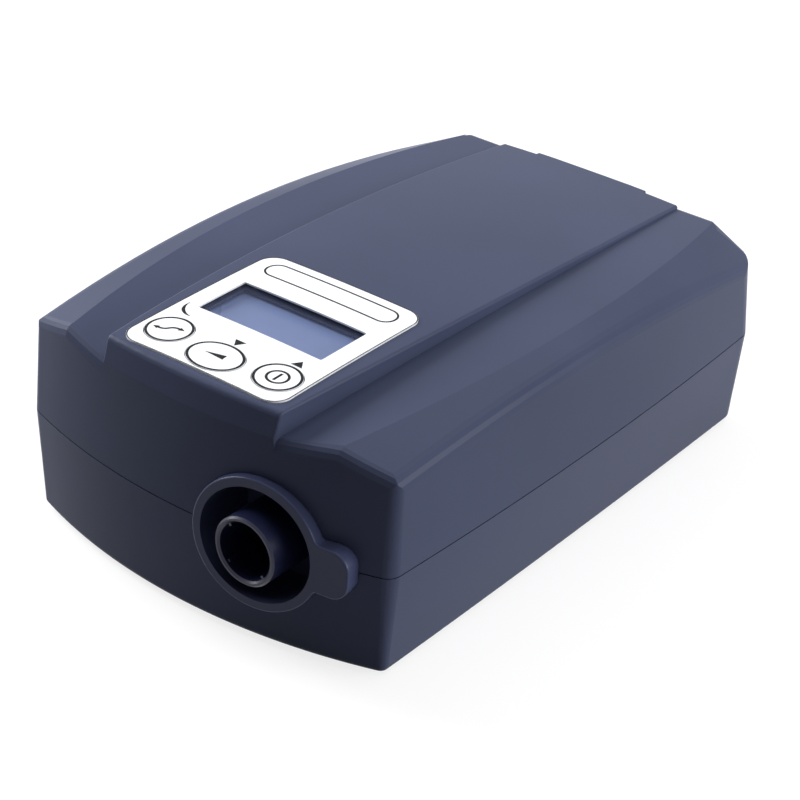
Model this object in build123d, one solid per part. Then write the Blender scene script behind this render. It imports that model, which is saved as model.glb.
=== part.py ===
from build123d import *
import os
from math import cos, radians, sin, sqrt, tan

# A table-top CPAP machine. Millimetres, front towards -Y, +X to the right, +Z up.
# The origin is the middle of the footprint, on the surface that the feet stand on.

# ---------------------------------------------------------------- case: driving dimensions
case_length = 218.8            # foremost point of the front wall to the rearmost of the rear wall
case_width = 145.0             # at the widest, half-way along, at the seam
outlet_reach = 4.8             # how far the air outlet stands in front of the case
front_bow = 12.3               # bulge of the front wall, in plan
side_bow = 2.9                 # bulge of each side wall, in plan
rear_bow = 2.5                 # bulge of the rear wall, in plan
front_corner_radius = 5.0
rear_corner_radius = 9.0
wall = 2.4                     # moulded wall of both shells
foot_stand = 1.2               # how far the feet hold the case off the surface
base_height = 34.6             # underside of the base to the seam
base_taper_angle = 3.6         # degrees, the base narrows downwards
cover_draft_angle = 1.5        # degrees, the cover's walls lean inwards
cover_rear_lean_angle = 4.5    # degrees, the cover's rear wall leans more
cover_corner_angle = 10.0      # degrees, how fast the cover's rear corners grow rounder upwards
base_rear_taper_angle = 1.0    # degrees, the base's rear wall leans less
base_side_ease = 2.2           # how much flatter the base's sides are at the bottom
base_corner_ease = 3.0         # how much sharper the base's rear corners are at the bottom
base_edge_radius = 2.0         # round of the base's bottom edge
seam_groove = 0.4              # depth and height of the shadow line along the cover's foot
rim_height = 2.2               # tongue of the base that stands inside the cover
fit_gap = 0.15                 # clearance of one piece located in another, per side
touch_gap = 0.3                # clearance between a moving piece and its neighbours

# Heights of the top surfaces, each given at the front, half-way and at the rear.
shoulder_inner_heights = (71.2, 74.6, 70.4)    # beside the deck
crease_heights = (73.2, 75.0, 70.8)            # along the crease of each shoulder
edge_heights = (67.0, 72.9, 60.6)              # where the shoulder would meet the side wall
crease_insets = (18.3, 8.6, 19.6)              # distance of the crease from the case's corners, across
deck_half_widths = (33.0, 37.7, 36.0)
deck_crest_z = 79.7
deck_crest_back = 45.0         # crest of the deck, behind the front corners
deck_arch_radius = 1700.0
deck_crown = 0.8               # how much the deck rises from its edges to its middle
valley_half_width = 35.0       # where the shoulder's inner height is measured
bullnose_reach = 3.9           # extent of the rounded shoulder edge along wall and top
front_nose_reach = 5.0
rear_nose_reach = 5.0
deck_rear_reach = 2.5
lip_foot_z = 70.6              # where the deck's sloping front lip starts
lip_lean_angle = 16.0          # degrees from upright
lip_edge_radius = 2.2          # round of the deck's front edge
deck_edge_radius = 0.9         # round of the deck's side edges
rear_step_x = 22.0             # the deck's rear edge is set back beyond this
rear_step_depth = 1.2

# ---------------------------------------------------------------- control panel
panel_half_width = 30.1
panel_front_back = -5.6        # front edge of the label, behind the front corners
panel_length = 70.4
panel_corner_radius = 6.5
panel_recess = 0.25            # depth of the label's seat in the deck
panel_proud = 0.35             # how far the label stands above the deck
window_half_width = 23.4
window_front_back = 22.4       # front edge of the window, behind the front corners
window_length = 21.6
window_corner_radius = 0.6
window_ledge = 1.6             # how far the pane reaches under the label, all round
window_sight_inset = 0.8       # opening under the pane, inside the window's outline
window_ledge_thickness = 0.7
pane_thickness = 1.0
key_spacing = 20.4             # between the middle key and each outer key, across
side_key_back = 6.6            # centre of the outer keys, behind the front corners
middle_key_back = 3.4
side_key_radius = 7.4
middle_key_half_length = 9.3
middle_key_half_width = 7.6
key_travel = 0.5
key_cap_proud = 0.15           # above the label
key_pocket_depth = 1.6         # seat of each key cap in the deck
key_floor_gap = 0.2            # left under a pressed key cap
key_stem_radius = 2.4
key_skirt_radius = 4.6         # retaining flange under the deck
key_skirt_thickness = 0.8

# ---------------------------------------------------------------- air outlet
outlet_inset = 40.0            # from the outlet's axis to the case's right front corner
spigot_radius = 11.0           # 22 mm conical connector, modelled straight
spigot_bore_radius = 9.2
spigot_length = 24.0           # from the rim to the floor of the recess
spigot_lip_share = 0.33        # part of the wall that each round of its rim takes
spigot_rib_height = 0.9
spigot_rib_count = 4
spigot_collar_radius = 12.6    # fills the hole in the recess floor, behind the spigot
barb_radius = 10.4
recess_radius = 18.6
recess_wall = 1.6
recess_floor = 2.0
trim_width = 3.0               # visible width of the ring round the recess
trim_thickness = 2.0
trim_depth = 7.8               # from the ring's face to the rear edge of its skirt
trim_skirt_wall = 1.4
trim_edge_radius = 0.6
tab_blend_radius = 2.0         # where the grip tab grows out of the ring
trim_tilt_angle = 6.5          # degrees, the ring's face turns with the front wall
trim_stand = 2.2               # how far the middle of the ring stands in front of the wall
tab_reach = 31.2               # end of the grip tab, from the outlet's axis
tab_half_height = 8.0
tab_corner_radius = 6.0
flange_thickness = 2.0
barb_length = 16.0
sensor_port_length = 7.0
nipple_radius = 1.6            # small nipples that the sensing hose goes on
nipple_bore_radius = 0.9
cradle_thickness = 2.0         # ribs of the case that hold the ring's cup
cradle_margin = 4.0
cradle_ahead = 5.0             # in front of the recess floor
sleeve_wall = 1.6
sleeve_fold_count = 2
sleeve_fold_height = 2.2
sleeve_overlap = 9.0

# ---------------------------------------------------------------- blower
blower_centre_back = 84.0      # blower axis, behind the front corners
blower_wall = 1.8
volute_height = 20.0
volute_start_radius = 31.0
volute_end_radius = 48.0
volute_start_angle = 350.0     # degrees, the tongue of the spiral
volute_step_count = 12
duct_length = 38.0             # straight duct from the blower axis forwards
blower_spigot_length = 14.0
blower_bore_radius = 8.2
impeller_radius = 27.0
impeller_eye_radius = 12.0
impeller_plate = 1.2
blade_count = 11
blade_thickness = 1.0
blade_height_eye = 10.5
blade_height_rim = 6.5
blade_sweep_angle = 48.0
blade_bend_share = 0.42        # part of the sweep reached half-way out
blade_rim_gap = 0.4            # blade tips inside the rim of the back plate
hub_radius = 4.5
hub_foot_radius = 7.2
impeller_lift = 1.3            # above the bearing boss
shaft_radius = 1.5
bearing_radius = 4.0
bearing_height = 3.0
bearing_boss_wall = 1.4
running_gap = 0.04             # radial clearance of the shaft in its bearings
magnet_radius = 6.2
magnet_height = 9.0
air_gap = 0.6
stator_radius = 16.8
stator_height = 8.0
stator_tooth_count = 9
stator_tooth_width = 2.6
stator_yoke = 2.2
stator_shoe = 1.2
coil_wall = 1.1
coil_edge_radius = 0.9
motor_cup_wall = 1.6
motor_cup_depth = 15.2
inlet_lip_height = 4.0
inlet_lip_wall = 1.4
mount_angles = (50.0, 130.0, 230.0, 290.0)
mount_lug_radius = 5.5
mount_lug_offset = 4.0         # lug centre outside the volute wall
mount_lug_thickness = 3.0
mount_radius = 4.6
mount_neck_radius = 2.2
mount_head_radius = 3.6
mount_head_height = 2.0
mount_height = 8.0

# ---------------------------------------------------------------- intake side
intake_width = 80.0
intake_screw_gap = 1.3         # from the case's left screw boss to the box
intake_blower_reach = 56.0     # from the blower's axis back to the box
filter_room = 11.6             # behind the box, in front of the rear wall
intake_height = 44.0
intake_wall = 1.6
intake_corner_radius = 6.0
intake_lid_thickness = 1.8
intake_lid_rim = 2.0
intake_port_radius = 9.0
intake_port_inset = 15.0       # from the box's left side to the port's axis
foam_floor = 8.0               # foam under and over the air channel
foam_partition = 10.0          # foam between the front channel and the box walls
foam_inlet_half_width = 14.0
foam_inlet_shift = 12.0        # the inlet channel lies to the right of the middle
door_half_width = 26.0
door_half_height = 11.5
door_z = 20.5
door_corner_radius = 4.0
door_thickness = 2.0
door_slot_count = 9
door_slot_width = 2.2
door_slot_height = 15.0
door_slot_margin = 5.0         # first slot to the door's edge
door_clip_length = 4.0
door_clip_thickness = 1.4
door_clip_height = 6.0
filter_thickness = 5.0
filter_seat = 0.5              # filter behind the intake box's opening
filter_frame_wall = 1.6

# ---------------------------------------------------------------- electronics
board_thickness = 1.6
board_z = 57.6                 # underside of the main board
board_side_inset = 19.6        # places from the case's corners
board_front_inset = 76.0
board_rear_inset = 28.0
board_post_inset = 5.0
board_post_radius = 3.2
board_screw_radius = 1.2
board_screw_head_radius = 2.4
board_screw_head_height = 1.6
board_screw_length = 5.0
board_corner_radius = 2.5
keypad_post_radius = 2.6
keypad_board_z = 69.4
keypad_half_width = 28.6
keypad_front_back = -3.8
keypad_length = 58.0
keypad_screw_inset = 3.0
switch_size = 6.0
switch_body_height = 1.8
switch_height = 2.6            # with its nib
switch_nib_radius = 1.6
display_half_width = 26.4
display_margin = 2.2           # how far the display reaches past the window, front and rear
display_glass_thickness = 2.2
bezel_wall = 1.2
capacitor_radius = 5.0
capacitor_height = 12.0
capacitor_edge_radius = 0.8
capacitor_count = 3
capacitor_side = 24.0           # first capacitor's place from the main board's left edge
capacitor_inset = 14.0         # in front of the main board's rear edge
chip_height = 1.4
controller_size = 12.0
controller_x = -22.0
controller_back = 34.0         # behind the main board's front edge
driver_size = 9.0
driver_x = 8.0
driver_back = 30.0
spreader_width = 20.0
spreader_depth = 18.0
spreader_height = 9.0
spreader_base = 2.4
spreader_fin_count = 5
spreader_side = 26.0            # from the main board's right edge
spreader_inset = 32.0
buzzer_radius = 4.5
buzzer_height = 5.0
buzzer_hole_radius = 0.9
buzzer_side = 12.0              # from the main board's left edge
buzzer_back = 24.0
connector_depth = 5.0
connector_height = 4.0
connector_margin = 2.0         # connector past the ribbon, each side
connector_back = 6.0
supply_connector_length = 14.0
supply_connector_width = 6.0
supply_connector_inset = 24.0
supply_connector_side = 7.0    # from the main board's right edge
sensor_size = 9.0
sensor_height = 5.0
sensor_back = 10.0
sensor_nozzle_length = 5.0
hose_wall = 0.8
hose_height = 2.6              # axis of the sensor's nozzle above the board
hose_overlap = 4.0
hose_bend_radius = 6.0
ribbon_half_width = 6.0
ribbon_thickness = 0.5
ribbon_rise = 1.1              # how far the ribbon runs above the board's connector
ribbon_bend_radius = 0.8
inlet_socket_radius = 3.15
inlet_pin_radius = 1.2
inlet_pin_setback = 1.5
inlet_body_radius = 5.0
inlet_flange_radius = 7.0
inlet_flange_thickness = 1.6
inlet_flange_gap = 1.0         # behind the rear wall, for the socket's washer
inlet_depth = 14.0
inlet_side_inset = 20.6        # from the case's right rear corner
inlet_z = 19.0
inlet_cradle_depth = 6.0

# ---------------------------------------------------------------- feet and case screws
foot_radius = 7.0
foot_pocket = 0.8
foot_side_inset = 23.6         # places from the case's corners, across and along
foot_front_inset = 10.5
foot_rear_inset = 16.0
screw_side_inset = 11.1
screw_front_inset = 19.0
screw_rear_inset = 22.0
screw_boss_radius = 4.2
screw_radius = 1.4
screw_head_radius = 2.8
screw_head_height = 2.2
screw_well_depth = 10.0
screw_length = 38.0
screw_socket_radius = 0.9
screw_socket_depth = 1.2
pilot_depth = 22.0
board_pilot_depth = 6.0
foot_edge_chamfer = 0.5
floor_rib_height = 4.0
floor_rib_thickness = 1.4
floor_rib_x = 24.0

# ---------------------------------------------------------------- worked-out places
overall_length = case_length + outlet_reach
back_y = overall_length / 2
front_y = back_y - case_length
front_corner_y = front_y + front_bow
rear_corner_y = back_y - rear_bow
middle_y = (front_corner_y + rear_corner_y) / 2
corner_half_width = case_width / 2 - side_bow
crease_offsets = [corner_half_width - inset for inset in crease_insets]
seam_z = foot_stand + base_height
floor_z = foot_stand + wall
outlet_tip_y = -overall_length / 2
outlet_z = seam_z
outlet_x = corner_half_width - outlet_inset
recess_floor_y = outlet_tip_y + spigot_length
build_top = deck_crest_z + 10.0


def bow_radius(half_chord, bow):
    """Radius of an arc from its half chord and its rise."""
    return (half_chord ** 2 + bow ** 2) / (2 * bow)


front_radius = bow_radius(corner_half_width, front_bow)
rear_radius = bow_radius(corner_half_width, rear_bow)
side_radius = bow_radius((rear_corner_y - front_corner_y) / 2, side_bow)


def behind(distance):
    """A place along Y, given as a distance behind the front corners."""
    return front_corner_y + distance


def blend(values, y):
    """A dimension that is given at the front, half-way and at the rear."""
    share = (y - front_corner_y) / (rear_corner_y - front_corner_y)
    front, middle, rear = values
    return (front * (1 - share) * (1 - 2 * share) + middle * 4 * share * (1 - share)
            + rear * share * (2 * share - 1))


# ---------------------------------------------------------------- case surfaces
def case_plan(inset=0.0, rear_inset=0.0, side_ease=0.0, corner_growth=0.0):
    """Outline of the case: four bowed sides with rounded corners; the seam has the full size."""
    half, front, rear = corner_half_width - inset, front_corner_y + inset, rear_corner_y - inset - rear_inset
    corners = [(-half, front), (half, front), (half, rear), (-half, rear)]
    side = case_width / 2 - inset - side_ease
    bulges = [(0, front_y + inset), (side, middle_y), (0, back_y - inset - rear_inset), (-side, middle_y)]
    arcs = [ThreePointArc(corners[i], bulges[i], corners[(i + 1) % 4]) for i in range(4)]
    outline = Sketch() + make_face(Wire(arcs))
    outline = fillet([v for v in outline.vertices() if v.Y < middle_y], front_corner_radius - inset)
    corners = [v for v in outline.vertices() if v.Y > rear - fit_gap]
    return fillet(corners, rear_corner_radius - inset + corner_growth)


def wall_lean(z):
    """How far the cover's walls have come in at a height."""
    return (z - seam_z) * tan(radians(cover_draft_angle))


def rear_lean(z):
    """How much further the cover's rear wall has come in."""
    return (z - seam_z) * (tan(radians(cover_rear_lean_angle)) - tan(radians(cover_draft_angle)))


def side_wall_x(y, z):
    radius = side_radius - wall_lean(z)
    return case_width / 2 - side_radius + sqrt(radius ** 2 - (y - middle_y) ** 2)


def front_wall_y(x, z):
    radius = front_radius - wall_lean(z)
    return front_y + front_radius - sqrt(radius ** 2 - x ** 2)


def rear_wall_y(x, z):
    radius = rear_radius - wall_lean(z)
    return back_y - rear_radius + sqrt(radius ** 2 - x ** 2) - rear_lean(z)


def deck_z(y):
    return deck_crest_z - deck_arch_radius + sqrt(deck_arch_radius ** 2 - (y - behind(deck_crest_back)) ** 2)


def valley_sag(y):
    """Depth of the hollow between the two creases."""
    crease_x = blend(crease_offsets, y)
    depth = blend(crease_heights, y) - blend(shoulder_inner_heights, y)
    return depth * crease_x ** 2 / (crease_x ** 2 - valley_half_width ** 2)


def shoulder_z(x, y):
    crease_x = blend(crease_offsets, y)
    crease = blend(crease_heights, y)
    if abs(x) < crease_x:
        return crease - valley_sag(y) * (1 - (x / crease_x) ** 2)
    slope = (blend(edge_heights, y) - crease) / (corner_half_width - crease_x)
    return crease + slope * (abs(x) - crease_x)


section_overrun = 8.0          # the lofted surfaces run past the walls that trim them
station_count = 5
stations = [front_y - section_overrun + i * (case_length + 2 * section_overrun) / (station_count - 1)
            for i in range(station_count)]


def closed_section(points, arc_at, arc_middle):
    """A planar face through points, with one side bent into an arc."""
    edges = []
    for i, start in enumerate(points):
        end = points[(i + 1) % len(points)]
        edges.append(ThreePointArc(start, arc_middle, end) if i == arc_at else Line(start, end))
    return make_face(Wire(edges))


def shoulder_form(drop=0.0):
    """Everything under the two shoulders, without a limit sideways."""
    far = case_width / 2 + section_overrun
    sections = []
    for y in stations:
        crease_x = blend(crease_offsets, y)
        crease = blend(crease_heights, y) - drop
        outer = shoulder_z(far, y) - drop
        points = [(-far, y, seam_z - 1), (-far, y, outer), (-crease_x, y, crease),
                  (crease_x, y, crease), (far, y, outer), (far, y, seam_z - 1)]
        sections.append(closed_section(points, 2, (0, y, crease - valley_sag(y))))
    return loft(sections)


def deck_form(rise=0.0, grow=0.0):
    """The raised deck: an arched, slightly crowned tongue with bowed sides."""
    sections = []
    for y in stations:
        w = blend(deck_half_widths, y) + grow
        top = deck_z(y) + rise
        low = top - deck_crown
        points = [(-w, y, seam_z - 1), (-w, y, low), (w, y, low), (w, y, seam_z - 1)]
        sections.append(closed_section(points, 1, (0, y, top)))
    return loft(sections)


def lip_cutter(inset=0.0):
    """What the sloping lip takes off the front of the deck."""
    height = build_top - lip_foot_z
    foot = front_radius - wall_lean(lip_foot_z) - inset
    profile = Polyline((foot, 0, lip_foot_z), (foot - height * tan(radians(lip_lean_angle)), 0, build_top),
                       (foot + section_overrun, 0, build_top),
                        (foot + section_overrun, 0, lip_foot_z), close=True)
    return Pos(0, front_y + front_radius, 0) * revolve(make_face(profile), Axis.Z)


def soften_deck(deck):
    """Sets the outer parts of the deck's rear edge back, and rounds its front and side edges."""
    for side in (-1, 1):
        step = Box(case_width, rear_step_depth + section_overrun, 2 * build_top,
                   align=(Align.MIN, Align.MIN, Align.CENTER))
        y = rear_wall_y(0, deck_z(rear_corner_y)) - deck_rear_reach * end_nose_top_share - rear_step_depth
        x = rear_step_x if side > 0 else -rear_step_x - case_width
        deck -= Pos(x, y, 0) * step
    front = [e for e in deck.edges() if e.bounding_box().min.Z > lip_foot_z + wall
             and e.bounding_box().max.Y < front_corner_y]
    deck = fillet(front, lip_edge_radius)
    sides = [e for e in deck.edges() if e.bounding_box().size.Y > case_length / 2
             and e.bounding_box().min.Z > lip_foot_z - wall * 2]
    return fillet(sides, deck_edge_radius)


def cover_form(inset=0.0):
    """The solid form of the cover, or its inside when inset by the wall."""
    growth = (build_top - seam_z) * tan(radians(cover_corner_angle))
    top_plan = case_plan(inset + wall_lean(build_top), rear_lean(build_top), corner_growth=growth)
    walls = loft([Pos(0, 0, seam_z) * case_plan(inset), Pos(0, 0, build_top) * top_plan], ruled=True)
    shoulders = walls & shoulder_form(inset)
    if not inset:
        for nose in bullnoses():
            shoulders -= nose
    deck = (walls & deck_form(-inset, -inset)) - lip_cutter(inset)
    if not inset:
        deck -= rear_bullnose(deck_z, deck_rear_reach)
        deck = soften_deck(deck)
    whole = shoulders + deck
    return Part() + max(whole.solids(), key=lambda solid: solid.volume)


# ---------------------------------------------------------------- rounded shoulder edges
end_nose_top_share = 0.6       # extent of the front and rear rounding on top, as a share of that on the wall
nose_facets = 4                # flats that make up the rounding
nose_run_out = 2.0             # the first and last flat run on past the wall and the top
nose_depth = 14.0              # how far the cutter reaches away from the case


def nose_section(corner, down, inward, wall_reach, top_reach):
    """Section of a cutter that rounds the corner between a wall and a top surface."""
    on_wall = corner + down * wall_reach
    on_top = corner + inward * top_reach
    shares = [i / nose_facets for i in range(nose_facets + 1)]
    curve = [on_wall * (1 - t) ** 2 + corner * 2 * t * (1 - t) + on_top * t ** 2 for t in shares]
    start = on_wall + (curve[0] - curve[1]).normalized() * nose_run_out
    end = on_top + (curve[-1] - curve[-2]).normalized() * nose_run_out
    away = inward * -nose_depth
    return make_face(Polyline(start, *curve[1:-1], end, end + away, start + away, close=True))


def side_nose(side):
    sections = []
    for y in stations:
        z = shoulder_z(corner_half_width, y)
        z = shoulder_z(side_wall_x(y, z), y)
        x = side_wall_x(y, z)
        inner_x = x - bullnose_reach
        down = Vector(side * tan(radians(cover_draft_angle)), 0, -1).normalized()
        inward = Vector(side * (inner_x - x), 0, shoulder_z(inner_x, y) - z).normalized()
        sections.append(nose_section(Vector(side * x, y, z), down, inward, bullnose_reach, bullnose_reach))
    return loft(sections)


def end_nose(places, wall_y, facing, reach, top):
    """Rounds the top edge of the front (facing -1) or rear (facing 1) wall."""
    sections = []
    for x in places:
        z = top(x, wall_y(x, seam_z))
        z = top(x, wall_y(x, z))
        y = wall_y(x, z)
        inner_y = y - facing * reach
        down = Vector(0, facing * tan(radians(cover_draft_angle)), -1).normalized()
        inward = Vector(0, inner_y - y, top(x, inner_y) - z).normalized()
        sections.append(nose_section(Vector(x, y, z), down, inward, reach, reach * end_nose_top_share))
    return loft(sections)


def rear_bullnose(height, reach):
    """Rounds the rear top edge under one height function of y."""
    far = corner_half_width + section_overrun
    return end_nose((-far, 0, far), rear_wall_y, 1, reach, lambda x, y: height(y))


def bullnoses():
    """All cutters that round the edges of the shoulders."""
    far = corner_half_width + section_overrun
    front_crease = blend(crease_offsets, front_corner_y)
    rear_crease = blend(crease_offsets, rear_corner_y)
    inner = valley_half_width - section_overrun
    noses = []
    for side in (-1, 1):
        noses.append(side_nose(side))
        flat = sorted((side * inner, side * (inner + front_crease) / 2, side * front_crease))
        slope = sorted((side * front_crease, side * corner_half_width, side * far))
        noses.append(end_nose(flat, front_wall_y, -1, front_nose_reach, shoulder_z))
        noses.append(end_nose(slope, front_wall_y, -1, front_nose_reach, shoulder_z))
        rear_slope = sorted((side * rear_crease, side * corner_half_width, side * far))
        noses.append(end_nose(rear_slope, rear_wall_y, 1, rear_nose_reach, shoulder_z))
    noses.append(end_nose((-rear_crease, 0, rear_crease), rear_wall_y, 1, rear_nose_reach, shoulder_z))
    return noses


# ---------------------------------------------------------------- small helpers
def rounded_bar(x0, x1, y0, y1, radius):
    """A rectangle in plan with rounded corners."""
    return Pos((x0 + x1) / 2, (y0 + y1) / 2) * RectangleRounded(x1 - x0, y1 - y0, radius)


def slab(sketch, z, height):
    return extrude(Pos(0, 0, z) * sketch, amount=height)


def rod(x, y, z, radius, height):
    """An upright cylinder standing on z."""
    return Pos(x, y, z) * Cylinder(radius, height, align=(Align.CENTER, Align.CENTER, Align.MIN))


def level_rod(x, y, z, radius, length):
    """A cylinder along Y that starts at y and runs rearwards."""
    upright = Cylinder(radius, length, align=(Align.CENTER, Align.CENTER, Align.MIN))
    return Pos(x, y, z) * Rot(-90, 0, 0) * upright


def turned(points, axis_at):
    """A turned piece about a level axis along Y; points are (radius, y)."""
    face = make_face(Polyline(*[(radius, y, 0) for radius, y in points], close=True))
    return Pos(*axis_at) * revolve(face, Axis.Y)


def mirrored_places(x, ys):
    return [(side * x, y) for side in (-1, 1) for y in ys]


screw_x = corner_half_width - screw_side_inset
screw_places = mirrored_places(screw_x, (behind(screw_front_inset), rear_corner_y - screw_rear_inset))
foot_places = mirrored_places(corner_half_width - foot_side_inset,
                              (behind(foot_front_inset), rear_corner_y - foot_rear_inset))
board_top_z = board_z + board_thickness
board_half_width = corner_half_width - board_side_inset
capacitor_x = capacitor_side - board_half_width
spreader_x = board_half_width - spreader_side
buzzer_x = buzzer_side - board_half_width
board_y0 = behind(board_front_inset)
board_y1 = rear_corner_y - board_rear_inset
board_length = board_y1 - board_y0
board_post_places = mirrored_places(board_half_width - board_post_inset,
                                    (board_y0 + board_post_inset, board_y1 - board_post_inset))
keypad_y0 = behind(keypad_front_back)
keypad_y1 = keypad_y0 + keypad_length
keypad_post_places = mirrored_places(keypad_half_width - keypad_screw_inset,
                                     (keypad_y0 + keypad_screw_inset, keypad_y1 - keypad_screw_inset))


# ---------------------------------------------------------------- label, window and keys
panel_y0 = behind(panel_front_back)
window_y0 = behind(window_front_back)
window_y1 = window_y0 + window_length
window_z = deck_z((window_y0 + window_y1) / 2)
pane_z = window_z - wall + window_ledge_thickness
keypad_top_z = keypad_board_z + board_thickness
display_top_z = window_z - wall - deck_crown


def key_outline(name, grow=0.0):
    """Outline of one key in plan."""
    if name == "key_middle":
        oval = Ellipse(middle_key_half_length + grow, middle_key_half_width + grow)
        return Pos(0, behind(middle_key_back)) * oval
    side = -1 if name == "key_left" else 1
    return Pos(side * key_spacing, behind(side_key_back)) * Circle(side_key_radius + grow)


def key_centre(name):
    side = {"key_left": -1, "key_middle": 0, "key_right": 1}[name]
    return side * key_spacing, behind(side_key_back if side else middle_key_back)


key_names = ("key_left", "key_middle", "key_right")


def panel_outline(grow=0.0):
    return rounded_bar(-panel_half_width - grow, panel_half_width + grow, panel_y0 - grow,
                       panel_y0 + panel_length + grow, panel_corner_radius + grow)


def window_outline(grow=0.0):
    return rounded_bar(-window_half_width - grow, window_half_width + grow,
                       window_y0 - grow, window_y1 + grow, window_corner_radius)


def deck_layer(sketch, low, high):
    """A sheet of the deck's own curvature, between two heights above its surface."""
    block = slab(sketch, seam_z, build_top - seam_z)
    return (block & deck_form(high, wall)) - deck_form(low, wall + 1)


def through_deck(sketch, low=keypad_top_z):
    return slab(sketch, low, build_top - low)


def make_label():
    sheet = deck_layer(panel_outline(-touch_gap / 2), -panel_recess, panel_proud)
    sheet -= through_deck(window_outline())
    for name in key_names:
        sheet -= through_deck(key_outline(name, touch_gap))
    return sheet


def make_key(name):
    """A key cap on a stem that passes through the deck, with a skirt that keeps it in."""
    x, y = key_centre(name)
    cap = deck_layer(key_outline(name), key_travel + key_floor_gap - key_pocket_depth,
                     panel_proud + key_cap_proud)
    under_deck = deck_z(y) - deck_crown - wall - touch_gap
    foot_z = keypad_top_z + switch_height + key_travel + touch_gap
    stem = rod(x, y, foot_z, key_stem_radius, deck_z(y) - key_pocket_depth / 2 - foot_z)
    return cap + stem + rod(x, y, under_deck - key_skirt_thickness, key_skirt_radius, key_skirt_thickness)


def make_pane():
    return slab(window_outline(window_ledge - fit_gap), pane_z, pane_thickness)


def make_bezel():
    """Frame that holds the display against the underside of the deck."""
    y0, y1 = window_y0 - display_margin - bezel_wall, window_y1 + display_margin + bezel_wall
    half = display_half_width + bezel_wall
    block = slab(rounded_bar(-half, half, y0, y1, bezel_wall), keypad_top_z, display_top_z - keypad_top_z)
    pocket = rounded_bar(bezel_wall - half, half - bezel_wall, y0 + bezel_wall, y1 - bezel_wall,
                         bezel_wall / 2)
    return block - slab(pocket, keypad_top_z + bezel_wall, display_top_z)


def make_display():
    """The display glass on its backlight block, filling the bezel's pocket."""
    y0, y1 = window_y0 - display_margin + fit_gap, window_y1 + display_margin - fit_gap
    half = display_half_width - fit_gap
    low = keypad_top_z + bezel_wall
    glass_z = display_top_z - display_glass_thickness
    backlight = slab(rounded_bar(-half, half, y0, y1, bezel_wall / 2), low, glass_z - low)
    step = bezel_wall
    glass = rounded_bar(step - half, half - step, y0 + step, y1 - step, bezel_wall / 2)
    return backlight + slab(glass, glass_z, display_glass_thickness)


def make_switches():
    """Three tactile switches, each a square body with a round nib."""
    group = []
    for name in key_names:
        x, y = key_centre(name)
        body = slab(Pos(x, y) * Rectangle(switch_size, switch_size), keypad_top_z, switch_body_height)
        group.append(body + rod(x, y, keypad_top_z, switch_nib_radius, switch_height))
    return group


def make_keypad_board():
    board = slab(rounded_bar(-keypad_half_width, keypad_half_width, keypad_y0, keypad_y1,
                             board_corner_radius),
                 keypad_board_z, board_thickness)
    for x, y in keypad_post_places:
        board -= rod(x, y, keypad_board_z, board_screw_radius, board_thickness)
    return board


# ---------------------------------------------------------------- air outlet
outlet_at = (outlet_x, 0, outlet_z)
trim_face_y = front_wall_y(outlet_x, outlet_z) - trim_stand
trim_radius = recess_radius + trim_width
cup_radius = recess_radius + recess_wall
cup_end_y = recess_floor_y + recess_floor
cradle_y = recess_floor_y - cradle_ahead
port_y = cup_end_y + flange_thickness + 2 * nipple_radius
port_top_z = outlet_z + spigot_radius + sensor_port_length
barb_end_y = cup_end_y + flange_thickness + barb_length


def trim_plane(back=0.0):
    """Plane of the ring's face, turned with the bulging front wall."""
    turn = radians(trim_tilt_angle)
    normal = Vector(sin(turn), -cos(turn), 0)
    origin = Vector(outlet_x, trim_face_y, outlet_z) - normal * back
    return Plane(origin, x_dir=Vector(cos(turn), sin(turn), 0), z_dir=normal)


def trim_outline(grow=0.0):
    """The ring's outer circle with a rounded grip tab to the right."""
    tab_width = tab_reach - recess_radius / 2
    tab = RectangleRounded(tab_width + 2 * grow, 2 * (tab_half_height + grow), tab_corner_radius + grow)
    outline = Circle(trim_radius + grow) + Pos(tab_reach - tab_width / 2, 0) * tab
    inner_corners = outline.vertices().sort_by(Axis.X)[:2]
    return fillet(inner_corners, tab_blend_radius - grow)


def outlet_hole(radius, start_y=outlet_tip_y - section_overrun, end_y=cup_end_y):
    return level_rod(outlet_x, start_y, outlet_z, radius, end_y - start_y)


def trim_pocket():
    """What the ring takes out of the front wall."""
    depth = trim_depth + fit_gap
    return extrude(trim_plane(depth) * trim_outline(fit_gap), amount=depth + section_overrun) + outlet_hole(
        cup_radius + fit_gap, end_y=cradle_y)


def make_outlet_ring():
    """Trim ring, grip tab and the cup round the spigot, in one moulding."""
    plate = extrude(trim_plane(trim_thickness) * trim_outline(), amount=trim_thickness)
    plate = fillet(plate.faces().sort_by(Axis.Y)[0].edges(), trim_edge_radius)
    skirt = trim_outline() - trim_outline(-trim_skirt_wall)
    skirt = extrude(trim_plane(trim_depth) * skirt, amount=trim_depth - trim_edge_radius)
    ahead = extrude(trim_plane(trim_thickness / 2) * Circle(2 * tab_reach),
                    amount=outlet_reach + section_overrun)
    cup = outlet_hole(cup_radius, start_y=outlet_tip_y) - ahead
    ring = plate + skirt + cup - outlet_hole(recess_radius, end_y=recess_floor_y)
    return ring - outlet_hole(spigot_collar_radius)


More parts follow.
